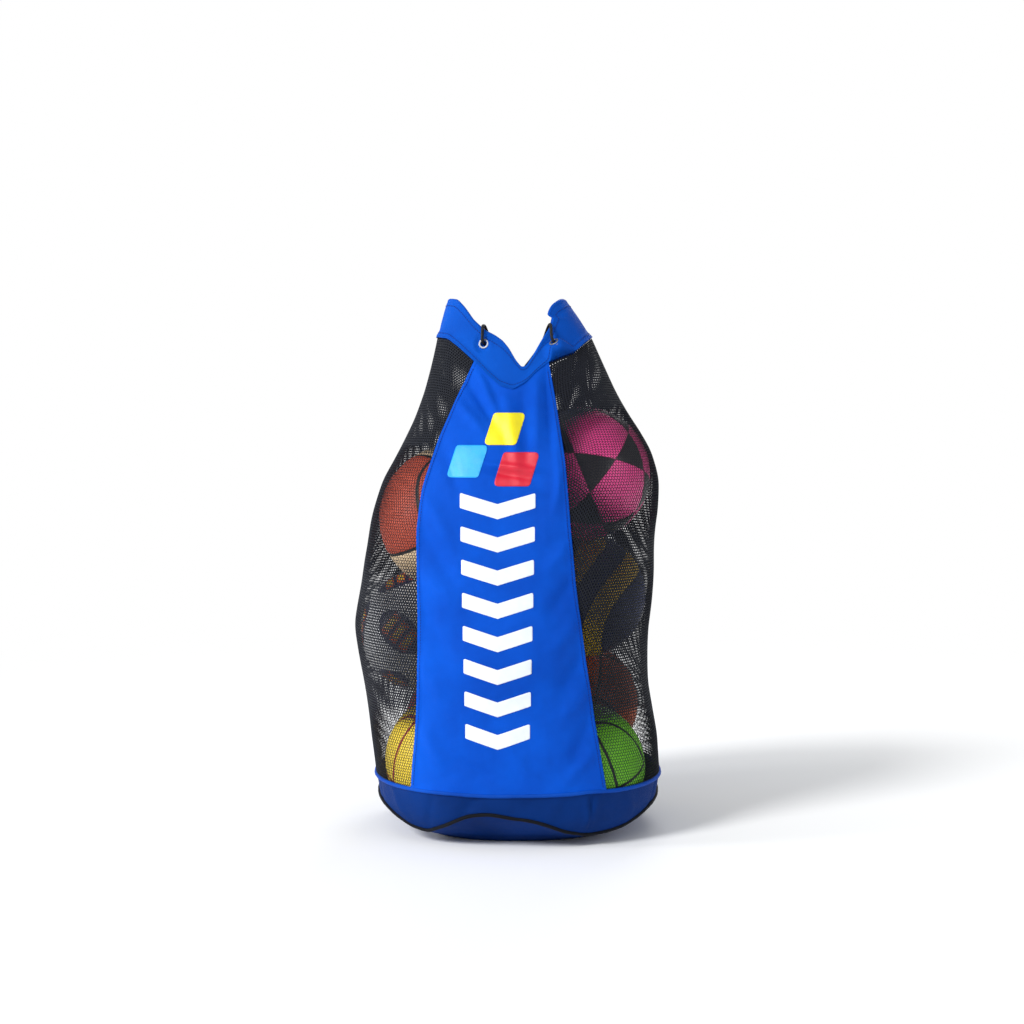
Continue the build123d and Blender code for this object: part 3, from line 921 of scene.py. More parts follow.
def side_lattice(gore, half):
    """Points and triangles of a net, from the ridge of a side to a panel's edge."""
    start, count = gore_start[gore], GORES[gore]
    samples = np.linspace(0, count, 4 * count + 1)
    ridge = start + count / 2
    rise = np.linalg.norm(np.diff(skin[:, int(ridge) % COLUMNS], axis=0), axis=1)
    heights = np.concatenate([[0], np.cumsum(rise)])
    row_step = NET_PITCH * math.sqrt(3) / 2
    row_count = int(heights[-1] / row_step) + 1
    rows = np.interp(np.arange(row_count + 1) * row_step - 0.3 * row_step, heights, np.arange(ROWS))
    # The half that ends at the front panel runs to the gore's start or its end.
    toward_end = (gore == "left") == (half == "front")
    sign = 1 if toward_end else -1
    lattice, points, opened = {}, [], []
    for level, row in enumerate(rows):
        line = skin_place(np.full(samples.shape, row), start + samples, np.zeros(samples.shape))
        travel = np.concatenate([[0], np.cumsum(np.linalg.norm(np.diff(line, axis=0), axis=1))])
        ridge_travel = np.interp(count / 2, samples, travel)
        limit = (travel[-1] - ridge_travel if toward_end else ridge_travel) + HEM_COVER
        slots = np.arange(-1, int(limit / NET_PITCH) + 1)
        away = (slots + 0.5 * (level % 2)) * NET_PITCH
        edge_step = travel[-1] - travel[-2] if toward_end else travel[1] - travel[0]
        column = np.interp(ridge_travel + sign * away, travel, samples)
        beyond = away - (travel[-1] - ridge_travel if toward_end else ridge_travel)
        column = np.where(beyond > 0, (samples[-1] if toward_end else 0)
                          + sign * beyond / edge_step * (samples[1] - samples[0]), column)
        level_row, lift = np.full(column.shape, row), np.full(column.shape, NET_LIFT)
        places = skin_place(level_row, start + column, lift)
        holes = read_grid(net_open[..., None], level_row, start + column)[..., 0]
        for slot, place, hole in zip(slots, places, holes):
            lattice[level, slot] = len(points)
            points.append(place)
            opened.append(hole)
    faces = []
    for (level, slot), corner in lattice.items():
        shift = level % 2
        right = lattice.get((level, slot + 1))
        up_left = lattice.get((level + 1, slot + shift - 1))
        up_right = lattice.get((level + 1, slot + shift))
        if right is not None and up_right is not None:
            faces.append((corner, right, up_right))
        if up_left is not None and up_right is not None:
            faces.append((corner, up_right, up_left))
    if toward_end:
        faces = [face[::-1] for face in faces]
    return points, faces, opened


net_pieces, net_cuts = {}, {}
for gore in ("left", "right"):
    for half in ("front", "back"):
        points, faces, opened = side_lattice(gore, half)
        piece = mesh_object(f"{gore}_net_{half}", points, faces, smooth=False)
        piece.data.attributes.new("opened", "FLOAT", "POINT").data.foreach_set("value", opened)
        net_cuts[gore, half] = sum(face.area for face in piece.data.polygons)
        run_tree(piece, NET_TREE, Hole_share=HOLE_SHARE, Strand_thickness=STRAND_THICKNESS,
                 Material=NET_YARN)
        net_pieces[gore, half] = piece
        print(piece.name, len(points), "lattice points,", triangles(piece), "triangles, cut",
              round(net_cuts[gore, half], 4), "square metres, yarn surface",
              round(sum(face.area for face in piece.data.polygons), 4))


# %% Net pieces baked in place
def lips_blend(piece, half, reach=0.0336):
    """Bake the piece's placement into its mesh."""
    side = -1 if half == "front" else 1
    half + "_lip"
    side * reach
    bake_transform(piece)


# The balls hold the net larger than its cut; how much is an assumption.
for (gore, half), piece in net_pieces.items():
    lips_blend(piece, half)
    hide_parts(gore + "_mesh")
    half + "_collar_cloth"

# %% [markdown]
# ## Front and back panels
# Each panel is one length of coated cloth, hemmed down both long edges and sewn over the
# net. It could be cut from a flat sheet and simulated, but it is held on all four sides
# and pressed out by the balls, so it already lies on the skin. What is left to make is
# the slack: folds pulled from the seams and creases, added as soft ridges along lines.

# %% Folds of the front panel
def fold(x, z, start, end, width, height):
    """A soft ridge, or a groove if height is negative, along a straight line."""
    along_x, along_z = end[0] - start[0], end[1] - start[1]
    length = math.hypot(along_x, along_z)
    along = ((x - start[0]) * along_x + (z - start[1]) * along_z) / length**2
    across = ((x - start[0]) * along_z - (z - start[1]) * along_x) / length
    fade = np.clip(1.25 - np.abs(along - 0.5) * 2, 0, 1)
    fade = fade * fade * (3 - 2 * fade)
    return height * fade * np.exp(-((across / width) ** 2))


# Start (x, z), end (x, z), half width, height, all in millimetres.
FRONT_FOLDS = [
    ((-54, 598), (40, 582), 5, 1.7), ((-60, 590), (34, 573), 6, -1.5),
    ((-20, 560), (52, 548), 6, 0.9), ((-100, 700), (-48, 640), 9, 1.6),
    ((-86, 735), (-30, 650), 8, -1.8), ((-70, 758), (-16, 640), 8, 1.4),
    ((-46, 736), (-10, 600), 9, -1.1), ((-20, 716), (2, 560), 10, 1.2),
    ((6, 720), (14, 590), 9, -1.4), ((30, 742), (28, 610), 9, 1.5),
    ((46, 752), (52, 610), 7, -1.3), ((58, 700), (66, 520), 8, 1.2),
    ((-150, 560), (-96, 470), 13, 1.7), ((-156, 500), (-92, 410), 13, -1.9),
    ((-154, 440), (-80, 370), 14, 1.5), ((-158, 380), (-104, 300), 15, -1.6),
    ((-158, 300), (-112, 240), 13, 1.3), ((84, 480), (40, 430), 12, 1.4),
    ((92, 430), (44, 360), 12, -1.6), ((98, 370), (46, 300), 13, 1.5),
    ((106, 310), (60, 240), 13, -1.7), ((112, 260), (64, 200), 13, 1.6),
    ((120, 220), (80, 130), 12, -1.4), ((126, 160), (70, 104), 10, 1.2),
    ((-150, 200), (-112, 120), 12, 1.5), ((-100, 150), (-40, 108), 10, -1.0),
    ((-30, 200), (20, 110), 14, 1.0), ((-120, 640), (-88, 540), 10, -1.2),
    ((70, 600), (54, 520), 7, 1.0)]
FOLD_DEPTH = 2.7
BACK_FOLDS = [((x1 * -0.7 - 20, z1), (x2 * -0.8 - 14, z2), width * 1.2, height * 1.1)
              for (x1, z1), (x2, z2), width, height in FRONT_FOLDS]


def ripple(x, z):
    """Small uneven waves of sewn cloth, from a few crossed sines."""
    return (0.34 * np.sin(x / 13.0 + 1.3 * np.sin(z / 31.0)) * np.sin(z / 23.0 + 0.6)
            + 0.25 * np.sin(x / 7.3 + z / 19.0 + 2.0) * np.sin(z / 11.0 + x / 37.0)
            + 0.12 * np.sin(x / 4.1 - z / 6.7) * np.sin(x / 9.0 + z / 5.3))


def panel_lift(points, share_across, row_share, width, folds):
    """How far the panel stands off the skin, in metres, at each of its points."""
    x, z = points[..., 0] * 1000, points[..., 2] * 1000
    lift = ripple(x, z)
    for start, end, half_width, height in folds:
        lift = lift + fold(x, z, start, end, half_width, height * FOLD_DEPTH)
    edge = np.minimum(share_across, 1 - share_across) * width * 1000
    rows_from_end = np.minimum(row_share, 1 - row_share) * 640
    tame = np.clip(np.minimum(edge / 16, rows_from_end / 18), 0, 1)
    hem = 0.9 * np.clip((9.5 - edge) / 1.5, 0, 1)
    groove = -0.55 * np.exp(-(((edge - 5.0) / 0.9) ** 2))
    pucker = 0.22 * np.sin(z / 2.9) * np.clip((13 - edge) / 6, 0, 1) * np.clip(edge / 2, 0, 1)
    return (1.9 + lift * (0.25 + 0.75 * tame) + hem + groove + pucker) * MM


CLOTH_THICKNESS = 0.7 * MM
PANEL_ROWS = 290
PANEL_COLUMNS = 108


def thick_sheet(name, outer, inner):
    """A closed sheet from an outer and an inner grid with the same shape."""
    rows, columns = outer.shape[:2]
    points = np.concatenate([outer.reshape(-1, 3), inner.reshape(-1, 3)])
    below = rows * columns
    faces = grid_faces(rows, columns)
    faces += [[below + corner for corner in face[::-1]] for face in faces]
    edge = ([(0, c) for c in range(columns)] + [(r, columns - 1) for r in range(1, rows)]
            + [(rows - 1, c) for c in range(columns - 2, -1, -1)]
            + [(r, 0) for r in range(rows - 2, 0, -1)])
    ids = [r * columns + c for r, c in edge]
    for first, second in zip(ids, ids[1:] + ids[:1]):
        faces.append([first, below + first, below + second, second])
    return mesh_object(name, points, faces)


def make_panel(half, folds):
    start, count = gore_start[half], GORES[half]
    across = np.linspace(0, 1, PANEL_COLUMNS)
    up = np.linspace(0, 1, PANEL_ROWS)
    row, column = np.meshgrid(up * (ROWS - 1), start + across * count, indexing="ij")
    row_share, share_across = np.meshgrid(up, across, indexing="ij")
    base = skin_place(row, column, np.zeros(row.shape))
    width = np.linalg.norm(np.diff(base, axis=1), axis=-1).sum(1)[:, None]
    lift = panel_lift(base, share_across, row_share, width, folds)
    outer = skin_place(row, column, lift)
    inner = skin_place(row, column, lift - CLOTH_THICKNESS)
    piece = thick_sheet(half + "_panel_cloth", outer, inner)
    along = np.concatenate([np.zeros((PANEL_ROWS, 1)),
                            np.cumsum(np.linalg.norm(np.diff(base, axis=1), axis=-1), 1)], 1)
    along = (along - width / 2) * 1000
    middle_line = base[:, PANEL_COLUMNS // 2]
    rise = np.concatenate([[0], np.cumsum(np.linalg.norm(np.diff(middle_line, axis=0), axis=1))])
    height = np.broadcast_to(rise[:, None] * 1000, along.shape)
    uv = np.stack([along, height], -1).reshape(-1, 2)
    add_uv(piece, np.concatenate([uv, uv]))
    piece.data.materials.append(BLUE_CLOTH)
    uv = uv.reshape(PANEL_ROWS, PANEL_COLUMNS, 2)
    area = float(np.mean(width)) * float(rise[-1])
    return piece, outer, uv, float(width.max()), float(rise[-1]), area


panels = {}
for half, folds in (("front", FRONT_FOLDS), ("back", BACK_FOLDS)):
    panels[half] = make_panel(half, folds)
    piece, outer, uv, width, height, area = panels[half]
    print(piece.name, "cut", round(width, 3), "x", round(height, 3), "m,",
          triangles(piece), "triangles")

# %% [markdown]
# ## Print on the front panel
# The real panel carries a screen print: three coloured shapes above a tall column of
# white figures. Here it is generic: three slanted bars and a column of chevrons. Ink
# could be painted in the shader, but thin pieces of film lie on every fold of the cloth
# and have a true edge, so flat outlines are cut into small squares and dropped on it.

# %% Print pieces
front_outer = panels["front"][1]
front_tree = BVHTree.FromPolygons([Vector(p) for p in front_outer.reshape(-1, 3)],
                                  grid_faces(PANEL_ROWS, PANEL_COLUMNS))
INK_LIFT = 0.5 * MM


def rounded(points, radius, steps=6):
    """A flat outline with its corners rounded."""
    outline = []
    points = [Vector((p[0], p[1], 0)) for p in points]
    for before, corner, after in zip(points[-1:] + points[:-1], points, points[1:] + points[:1]):
        back, ahead = (before - corner).normalized(), (after - corner).normalized()
        reach = radius / math.tan(back.angle(ahead) / 2)
        first, last = corner + back * reach, corner + ahead * reach
        for step in range(steps + 1):
            t = step / steps
            outline.append(first * (1 - t) ** 2 + corner * 2 * t * (1 - t) + last * t**2)
    return outline


def printed(name, outlines, material, cell=2.2):
    """Flat outlines in (x, z) millimetres, cut into cells and laid on the front panel."""
    work = bmesh.new()
    for outline in outlines:
        work.faces.new([work.verts.new(p * MM) for p in outline])
    low = Vector((min(v.co.x for v in work.verts), min(v.co.y for v in work.verts)))
    high = Vector((max(v.co.x for v in work.verts), max(v.co.y for v in work.verts)))
    for axis in (0, 1):
        at = low[axis] + cell * MM
        direction = Vector((1, 0, 0)) if axis == 0 else Vector((0, 1, 0))
        while at < high[axis]:
            bmesh.ops.bisect_plane(work, geom=work.verts[:] + work.edges[:] + work.faces[:],
                                   plane_co=direction * at, plane_no=direction)
            at += cell * MM
    for vertex in work.verts:
        before_panel = Vector((vertex.co.x, -1.0, vertex.co.y))
        hit, normal, _, _ = front_tree.ray_cast(before_panel, Vector((0, 1, 0)))
        vertex.co = hit + (normal if normal.y < 0 else -normal) * INK_LIFT
    bmesh.ops.recalc_face_normals(work, faces=work.faces[:])
    mesh = bpy.data.meshes.new(name)
    work.to_mesh(mesh)
    work.free()
    thing = bpy.data.objects.new(name, mesh)
    scene.collection.objects.link(thing)
    if sum(face.normal.y * face.area for face in mesh.polygons) > 0:
        mesh.flip_normals()
    mesh.shade_smooth()
    # A thin film: a second side just inside, joined round the border.
    film = thing.modifiers.new("film", "SOLIDIFY")
    film.thickness = 0.1 * MM
    film.offset = -1
    final_mesh(thing)
    add_uv(thing, [(vertex.co.x * 1000, vertex.co.z * 1000) for vertex in thing.data.vertices])
    thing.data.materials.clear()
    thing.data.materials.append(material)
    return thing


def slanted_bar(x, z, width, height, lean, radius=7):
    return rounded([(x - width / 2 - lean, z - height / 2), (x + width / 2 - lean, z - height / 2),
                    (x + width / 2 + lean, z + height / 2), (x - width / 2 + lean, z + height / 2)], radius)


print_pieces = [
    printed("yellow_bar_print", [slanted_bar(-20, 651, 50, 50, 8)], YELLOW_INK),
    printed("sky_bar_print", [slanted_bar(-78, 601, 50, 50, 8)], SKY_INK),
    printed("red_bar_print", [slanted_bar(-2, 589, 56, 52, 8)], RED_INK)]


def chevron(z, half, arm, drop):
    """A wide V pointing down, across the panel."""
    return rounded([(-31 - half, z), (-31, z - drop), (-31 + half, z), (-31 + half, z + arm),
                    (-31, z - drop + arm), (-31 - half, z + arm)], 2.5, 3)


CHEVRONS = 8
figures = [chevron(530 - number * 50.5, 58 - 1.2 * number, 23, 17) for number in range(CHEVRONS)]
print_pieces.append(printed("white_chevrons_print", figures, WHITE_INK))
print("print pieces", [(piece.name, triangles(piece)) for piece in print_pieces])

# %% [markdown]
# ## Stitches
# Seams are sewn with lockstitch: short straight threads, evenly spaced, that sink at
# both ends. Geometry Nodes walk along a seam's curve at the stitch length and place one
# small bent thread at every step, turned along the seam.

# %% Stitch node tree
def make_stitch_tree():
    tree, entry, leave = tree_for("lockstitch", [("Stitch length", "NodeSocketFloat"),
                                                 ("Thread", "NodeSocketObject"),
                                                 ("Material", "NodeSocketMaterial")])
    link = tree.links.new
    curve = node(tree, "GeometryNodeMeshToCurve")
    link(entry.outputs["Geometry"], curve.inputs[0])
    walk = node(tree, "GeometryNodeCurveToPoints", mode="LENGTH")
    link(curve.outputs[0], walk.inputs["Curve"])
    link(entry.outputs["Stitch length"], walk.inputs["Length"])
    thread = node(tree, "GeometryNodeObjectInfo", transform_space="ORIGINAL")
    link(entry.outputs["Thread"], thread.inputs["Object"])
    turn = node(tree, "FunctionNodeAlignRotationToVector", axis="X")
    link(walk.outputs["Tangent"], turn.inputs["Vector"])
    place = node(tree, "GeometryNodeInstanceOnPoints")
    link(walk.outputs["Points"], place.inputs["Points"])
    link(thread.outputs["Geometry"], place.inputs["Instance"])
    link(turn.outputs[0], place.inputs["Rotation"])
    end_tree(tree, place.outputs[0], entry, leave)
    return tree


STITCH_TREE = make_stitch_tree()


def thread_shape(name, length, radius):
    """One stitch along X: a six sided thread, thick in its middle."""
    points, faces = [], []
    for at, size in ((-0.5, 0.35), (-0.36, 0.9), (0.36, 0.9), (0.5, 0.35)):
        for corner in range(6):
            angle = corner / 6 * 2 * math.pi
            thick = radius * size
            points.append((at * length, thick * math.cos(angle), thick * math.sin(angle)))
    faces = grid_faces(4, 6, wrap=True)
    faces += [[5 - i for i in range(6)], [18 + i for i in range(6)]]
    shape = mesh_object(name, points, faces)
    scene.collection.objects.unlink(shape)
    return shape


STITCH = thread_shape("stitch_thread", 3.2 * MM, 0.6 * MM)


def sew(name, lines, length=4.4 * MM):
    """Stitches along one or more lines of points."""
    points, edges = [], []
    for line in lines:
        first = len(points)
        points.extend(tuple(place) for place in line)
        edges += [(first + i, first + i + 1) for i in range(len(line) - 1)]
    mesh = bpy.data.meshes.new(name)
    mesh.from_pydata(points, edges, [])
    thing = bpy.data.objects.new(name, mesh)
    scene.collection.objects.link(thing)
    run_tree(thing, STITCH_TREE, Stitch_length=length, Thread=STITCH, Material=BLUE_THREAD)
    return thing


# %% Stitches of the panels' hems
def panel_line(half, inset, lift=0.15 * MM, left=True, first=4, last=-8):
    """A line of points that keeps a distance from a long edge of a panel."""
    outer, uv = panels[half][1:3]
    line = []
    for row in range(first, PANEL_ROWS + last):
        along = uv[row, :, 0]
        at = along[0] + inset if left else along[-1] - inset
        place = np.array([np.interp(at, along, outer[row, :, axis]) for axis in range(3)])
        line.append(place)
    line = np.array(line)
    outward = line * np.array([1, 1, 0])
    outward /= np.linalg.norm(outward, axis=1, keepdims=True)
    return line + outward * lift


hem_stitches = {}
for half in ("front", "back"):
    lines = [panel_line(half, 5.0, left=side) for side in (True, False)]
    hem_stitches[half] = sew(half + "_hem_stitches", lines)
    print(hem_stitches[half].name, triangles(hem_stitches[half]), "triangles")

for half in ("front", "back"):
    piece, _, _, width, height, area = panels[half]
    own = [hem_stitches[half]] + (print_pieces if half == "front" else [])
    for cloth in [piece] + own:
        lips_blend(cloth, half)
    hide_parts(half + "_panel")
    "left_net_" + half
    "right_net_" + half

# %% [markdown]
# ## Collar
# The collar is one strip folded over at the rim, so the cord runs in a tunnel between
# its outer and inner ply. It could be a plain extruded ring, but its lower edge laps the
# panels, its rim rolls, and it bends round each eyelet. So it is a profile of points
# (lap, outer ply, rolled rim, inner ply) carried round the mouth, in a front and a back
# half that meet at the two ears.

# %% Collar profile
RIM_ROLL = 2.3 * MM
LAP_ROWS = 0.6
TUNNEL_INSET = 10.4 * MM
EAR_OVERHANG = 9 * MM
LAP_STEPS, OUTER_STEPS, INNER_STEPS = 6, 46, 34


def top_turn(column):
    whole = np.arange(COLUMNS + 1)
    turns = np.append(TURN[-1], TURN[-1, 0] + 2 * math.pi)
    loops = np.floor(column / COLUMNS)
    return np.interp(column - loops * COLUMNS, whole, turns) + loops * 2 * math.pi


def rim_at(turn):
    height = np.full(turn.shape, 0.84)
    for _ in range(40):
        middle, arm_x, _ = wall_direction(turn, height)
        height = 0.6 * height + 0.4 * rim_height(np.clip(middle + arm_x, -0.12, 0.10))
    return height


def wall_place(turn, height, inset):
    """A point of the sewn wall, moved in along its spoke."""
    middle, arm_x, arm_y = wall_direction(turn, height)
    arm = np.hypot(arm_x, arm_y)
    share = 1 - inset / arm
    return np.stack([middle + arm_x * share, arm_y * share, height], -1)


def bend_to_eyelet(points, middle, axis, radius, fade, pocket):
    """Lay the cloth flat under an eyelet and dent it into the eyelet's hole."""
    away = points - np.array(middle)
    depth = away @ np.array(axis)
    beside = np.linalg.norm(away - depth[..., None] * np.array(axis), axis=-1)
    near = np.linalg.norm(away, axis=-1) < 0.05
    share = ease(1 - (beside - radius) / fade) * near
    points = points - (share * (depth + 0.3 * MM))[..., None] * np.array(axis)
    dent = ease((5.0 * MM - beside) / (1.6 * MM)) * near * pocket
    return points - dent[..., None] * np.array(axis)


def ear_fold(points):
    """How far the right ear's front edge hangs over to the left, with a nick below it."""
    x, z = points[..., 0], points[..., 2]
    near_top = ease((z - 0.826) / 0.008) * ease((0.870 - z) / 0.034)
    return EAR_OVERHANG * near_top * ease((0.083 - x) / 0.02) * (x > 0)


def make_collar(half, columns):
    turn = top_turn(columns)
    seam = wall_place(turn, np.interp(columns % COLUMNS, np.arange(COLUMNS + 1),
                                      np.append(HEIGHT[-1], HEIGHT[-1, 0])), 0)
    seam_z, rim_z = seam[:, 2], rim_at(turn)
    rim_z = np.maximum(rim_z, seam_z + 0.018)
    rows = []
    for step in np.linspace(0, 1, LAP_STEPS)[:-1]:
        row = np.full(columns.shape, ROWS - 1 - LAP_ROWS * (1 - step))
        rows.append(skin_place(row, columns, np.full(columns.shape, 3.4 * MM - 0.3 * MM * step)))
    outer_from = len(rows)
    for step in np.linspace(0, 1, OUTER_STEPS):
        z = seam_z + (rim_z - RIM_ROLL - seam_z) * step
        rise = (z - seam_z) * 1000
        x = wall_place(turn, z, 0)[:, 0] * 1000
        lift = 3.0 * (1 - ease(rise / 11)) + 0.3
        lift = lift + 0.5 * ripple(x * 1.3, z * 1300) * ease(rise / 8) * ease((rim_z - z) / 0.008)
        # The two sewn lines sink into the cloth.
        lift = lift - 0.55 * np.exp(-((rise - 5.0) / 0.9) ** 2)
        lift = lift - 0.5 * np.exp(-(((rim_z - z) * 1000 - 5.5) / 0.9) ** 2)
        rows.append(wall_place(turn, z, -lift * MM))
    outer_to = len(rows)
    for angle in np.linspace(0, math.pi, 8)[1:-1]:
        rows.append(wall_place(turn, rim_z - RIM_ROLL + RIM_ROLL * math.sin(angle),
                               -0.3 * MM + RIM_ROLL * (1 - math.cos(angle))))
    for step in np.linspace(1, 0, INNER_STEPS):
        z = seam_z + (rim_z - RIM_ROLL - seam_z) * step
        below_rim, above_seam = (rim_z - z) * 1000, (z - seam_z) * 1000
        inset = 2 * RIM_ROLL + (TUNNEL_INSET - 2 * RIM_ROLL) * ease(below_rim / 12) * ease(above_seam / 9)
        inset = inset - 1.6 * MM * (1 - ease(above_seam / 6))
        rows.append(wall_place(turn, z, inset))
    for step in (0.35, 0.7, 1.0):
        row = np.full(columns.shape, ROWS - 1 - LAP_ROWS * step)
        rows.append(skin_place(row, columns, np.full(columns.shape, 2.75 * MM)))
    points = np.array(rows)
    if half == "front":
        for middle, axis, fade in ((left_eyelet, left_direction, 0.009),
                                   (right_eyelet, RIGHT_AXIS, 0.019)):
            points[:outer_to] = bend_to_eyelet(points[:outer_to], middle, axis, 9 * MM, fade,
                                               3.6 * MM)
        points[..., 0] -= ear_fold(points)
    count, wide = points.shape[:2]
    faces = []
    for row in range(count):
        after = (row + 1) % count
        faces += [(row * wide + c, row * wide + c + 1, after * wide + c + 1, after * wide + c)
                  for c in range(wide - 1)]
    faces.append([row * wide for row in range(count)])
    faces.append([row * wide + wide - 1 for row in reversed(range(count))])
    piece = mesh_object(half + "_collar_cloth", points.reshape(-1, 3), faces)
    across = np.concatenate([[0], np.cumsum(np.linalg.norm(np.diff(points[outer_from], axis=0), axis=1))])
    down = np.concatenate([np.zeros((1, wide)),
                           np.cumsum(np.linalg.norm(np.diff(points, axis=0), axis=-1), 0)])
    uv = np.stack([np.broadcast_to(across * 1000, down.shape), down * 1000], -1)
    add_uv(piece, uv.reshape(-1, 2))
    piece.data.materials.append(COLLAR_CLOTH)
    return piece, points, outer_from, outer_to, float(across[-1]), float(down[-1].mean())


right_ear, left_ear = [gore_start[gore] + GORES[gore] / 2 for gore in ("right", "left")]
collars = {"front": make_collar("front", np.linspace(left_ear, COLUMNS + right_ear, 360)),
           "back": make_collar("back", np.linspace(right_ear, left_ear, 320))}
for half, (piece, points, outer_from, outer_to, width, height) in collars.items():
    lines = []
    for row, lift in ((outer_from + 4, 0.3), (outer_to - 8, 0.3)):
        line = points[row].copy()
        away = line * np.array([1, 1, 0])
        away /= np.linalg.norm(away, axis=1, keepdims=True)
        lines.append((line + away * lift * MM)[3:-3])
    own = sew(half + "_collar_stitches", lines)
    side = -1 if half == "front" else 1
    for cloth in (piece, own):
        half + "_lip"
        side * 0.065
        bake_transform(cloth)
    other = "left" if half == "front" else "right"
    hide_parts(half + "_collar", half + "_facing", other + "_collar", other + "_facing")
    folded_area = sum(face.area for face in piece.data.polygons) / 2
    folded = (width, max(height / 2, 1.05 * folded_area / width))
    half + "_panel_cloth"
    print(piece.name, "strip", round(width, 3), "x", round(height, 3), "m,",
          triangles(piece), "triangles")

# %% [markdown]
# ## Base band, pipings and base disc
# The band is a plain ring of heavier cloth. Its upper piping is a straight blue roll.
# The lower piping is black and wavy, because the balls push the floor of the bag down
# between them and the slack lifts the seam. The band's lower edge therefore follows a
# curve of heights, and the base disc hangs from it, rolls under and lies on the ground.

# %% Heights of the lower seam
RING = 400
ring_turn = np.linspace(0, 2 * math.pi, RING + 1)[:-1]
# Turn in degrees from +X, front at 270, and height in millimetres.
SEAM_WAVE = [(0, 60), (22, 44), (45, 22), (66, 36), (86, 46), (108, 24), (128, 20), (150, 40),
             (180, 60), (204, 46), (222, 24), (232, 20), (244, 36), (254, 54), (262, 58),
             (274, 46), (286, 26), (297, 18), (308, 20), (318, 25), (335, 46), (360, 60)]
wave_turn, wave_height = np.array(SEAM_WAVE, float).T


def round_wave(turn, turns, heights, width=21):
    fine = np.linspace(0, 360, 721)
    drawn = np.interp(fine, turns, heights)[:-1]
    window = np.hanning(width + 2)[1:-1]
    looped = np.concatenate([drawn[-40:], drawn, drawn[:40]])
    eased = np.convolve(looped, window / window.sum(), "same")[40:-40]
    return np.interp(np.degrees(turn) % 360, np.append(fine[:-1], 360), np.append(eased, eased[0]))


lower_seam = round_wave(ring_turn, wave_turn, wave_height) * MM


# Turn in degrees, lean in degrees for each millimetre up, half width, height.
BAND_CREASES = [
    (20, .1, 2, -2), (52, -.1, 3, 2), (75, .05, 2, -1.8), (101, -.08, 2.4, -1.6),
    (124, .1, 3, 1.8), (160, -.06, 2.6, -2), (196, .08, 2.4, -1.4), (218, -.12, 3, 1.5),
    (236, .1, 2.2, -1.1), (270, -.1, 4, 1.1), (282, .1, 2.6, -.9), (318, -.1, 3, 1.2),
    (338, .08, 2.2, -1.7)]


def band_crease(turn, height):
    """Creases of the band, in millimetres outwards."""
    degrees = np.degrees(turn) % 360
    rise = height * 1000
    lift = -2.4 * np.exp(-((degrees - 295.5 + (rise - 50) * 0.02) / 0.9) ** 2)
    lift = lift + 2.0 * np.exp(-((degrees - 292.2 + (rise - 88) * 0.06) / 1.6) ** 2)
    lift = lift + 1.5 * np.exp(-((degrees - 299.5 - (rise - 88) * 0.10) / 2.2) ** 2)
    lift = lift - 2.2 * np.exp(-((degrees - 252 - (rise - 50) * 0.12) / 3.2) ** 2)
    for at, lean, width, size in BAND_CREASES:
        lift = lift + size * np.exp(-((degrees - at - lean * (rise - 50)) / width) ** 2)
    return 1.5 * lift + 0.8 * ripple(degrees * 4.0, rise * 1.4)


BAND_ROWS = 44
BAND_GIRTH = 1460      # millimetres round the band
band_share = np.linspace(0, 1, BAND_ROWS)[:, None]
band_height = lower_seam[None, :] + band_share * (BAND_TOP - lower_seam)[None, :]
band_lift = band_crease(ring_turn[None, :], band_height) * np.sin(band_share * math.pi) ** 0.5
band_outer = wall_place(ring_turn[None, :] + 0 * band_height, band_height, -(band_lift + 0.2) * MM)
band_inner = wall_place(ring_turn[None, :] + 0 * band_height, band_height, (1.0 - band_lift) * MM)
band_points = np.concatenate([band_outer, band_inner[::-1]])
loop = len(band_points)
band_faces = grid_faces(loop, RING, wrap=True)
band_faces += [[(loop - 1) * RING + c, (loop - 1) * RING + (c + 1) % RING, (c + 1) % RING, c]
               for c in range(RING)]
band = mesh_object("base_band_cloth", band_points.reshape(-1, 3), band_faces)
around_mm = ring_turn / (2 * math.pi) * BAND_GIRTH
band_uv = np.stack([np.broadcast_to(around_mm, band_points.shape[:2]), band_points[..., 2] * 1000], -1)
add_uv(band, band_uv.reshape(-1, 2))
band.data.materials.append(BAND_CLOTH)
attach(band, "root")
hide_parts("base_band")
# The band is higher where the lower seam dips. Its strip is assumed to be 1.15 times as
# high as the band's mean.
print("band", triangles(band), "triangles, lower seam", round(float(lower_seam.min()), 3), "to",
      round(float(lower_seam.max()), 3))


# %% Piping rolls
def closed_tube(name, places, radius, around=16):
    """A roll along a closed ring of points."""
    forward = np.roll(places, -1, 0) - np.roll(places, 1, 0)
    forward /= np.linalg.norm(forward, axis=1, keepdims=True)
    outward = places * np.array([1, 1, 0])
    outward = outward - forward * np.sum(outward * forward, 1, keepdims=True)
    outward /= np.linalg.norm(outward, axis=1, keepdims=True)
    upward = np.cross(forward, outward)
    angle = np.arange(around) / around * 2 * math.pi
    points = (places[:, None] + outward[:, None] * (np.cos(angle)[None, :, None] * radius[..., None])
              + upward[:, None] * (np.sin(angle)[None, :, None] * radius[..., None]))
    count = len(places)
    faces = [(r * around + c, r * around + (c + 1) % around,
              (r + 1) % count * around + (c + 1) % around, (r + 1) % count * around + c)
             for r in range(count) for c in range(around)]
    made = mesh_object(name, points.reshape(-1, 3), faces)
    travel = np.arange(count) / count * BAND_GIRTH
    uv = np.stack(np.broadcast_arrays(travel[:, None], angle[None, :] * 3.3), -1)
    add_uv(made, uv.reshape(-1, 2))
    first_ring = made.data.polygons[:around]
    if sum(face.normal.dot(face.center - Vector(places[0])) for face in first_ring) < 0:
        made.data.flip_normals()
    return made


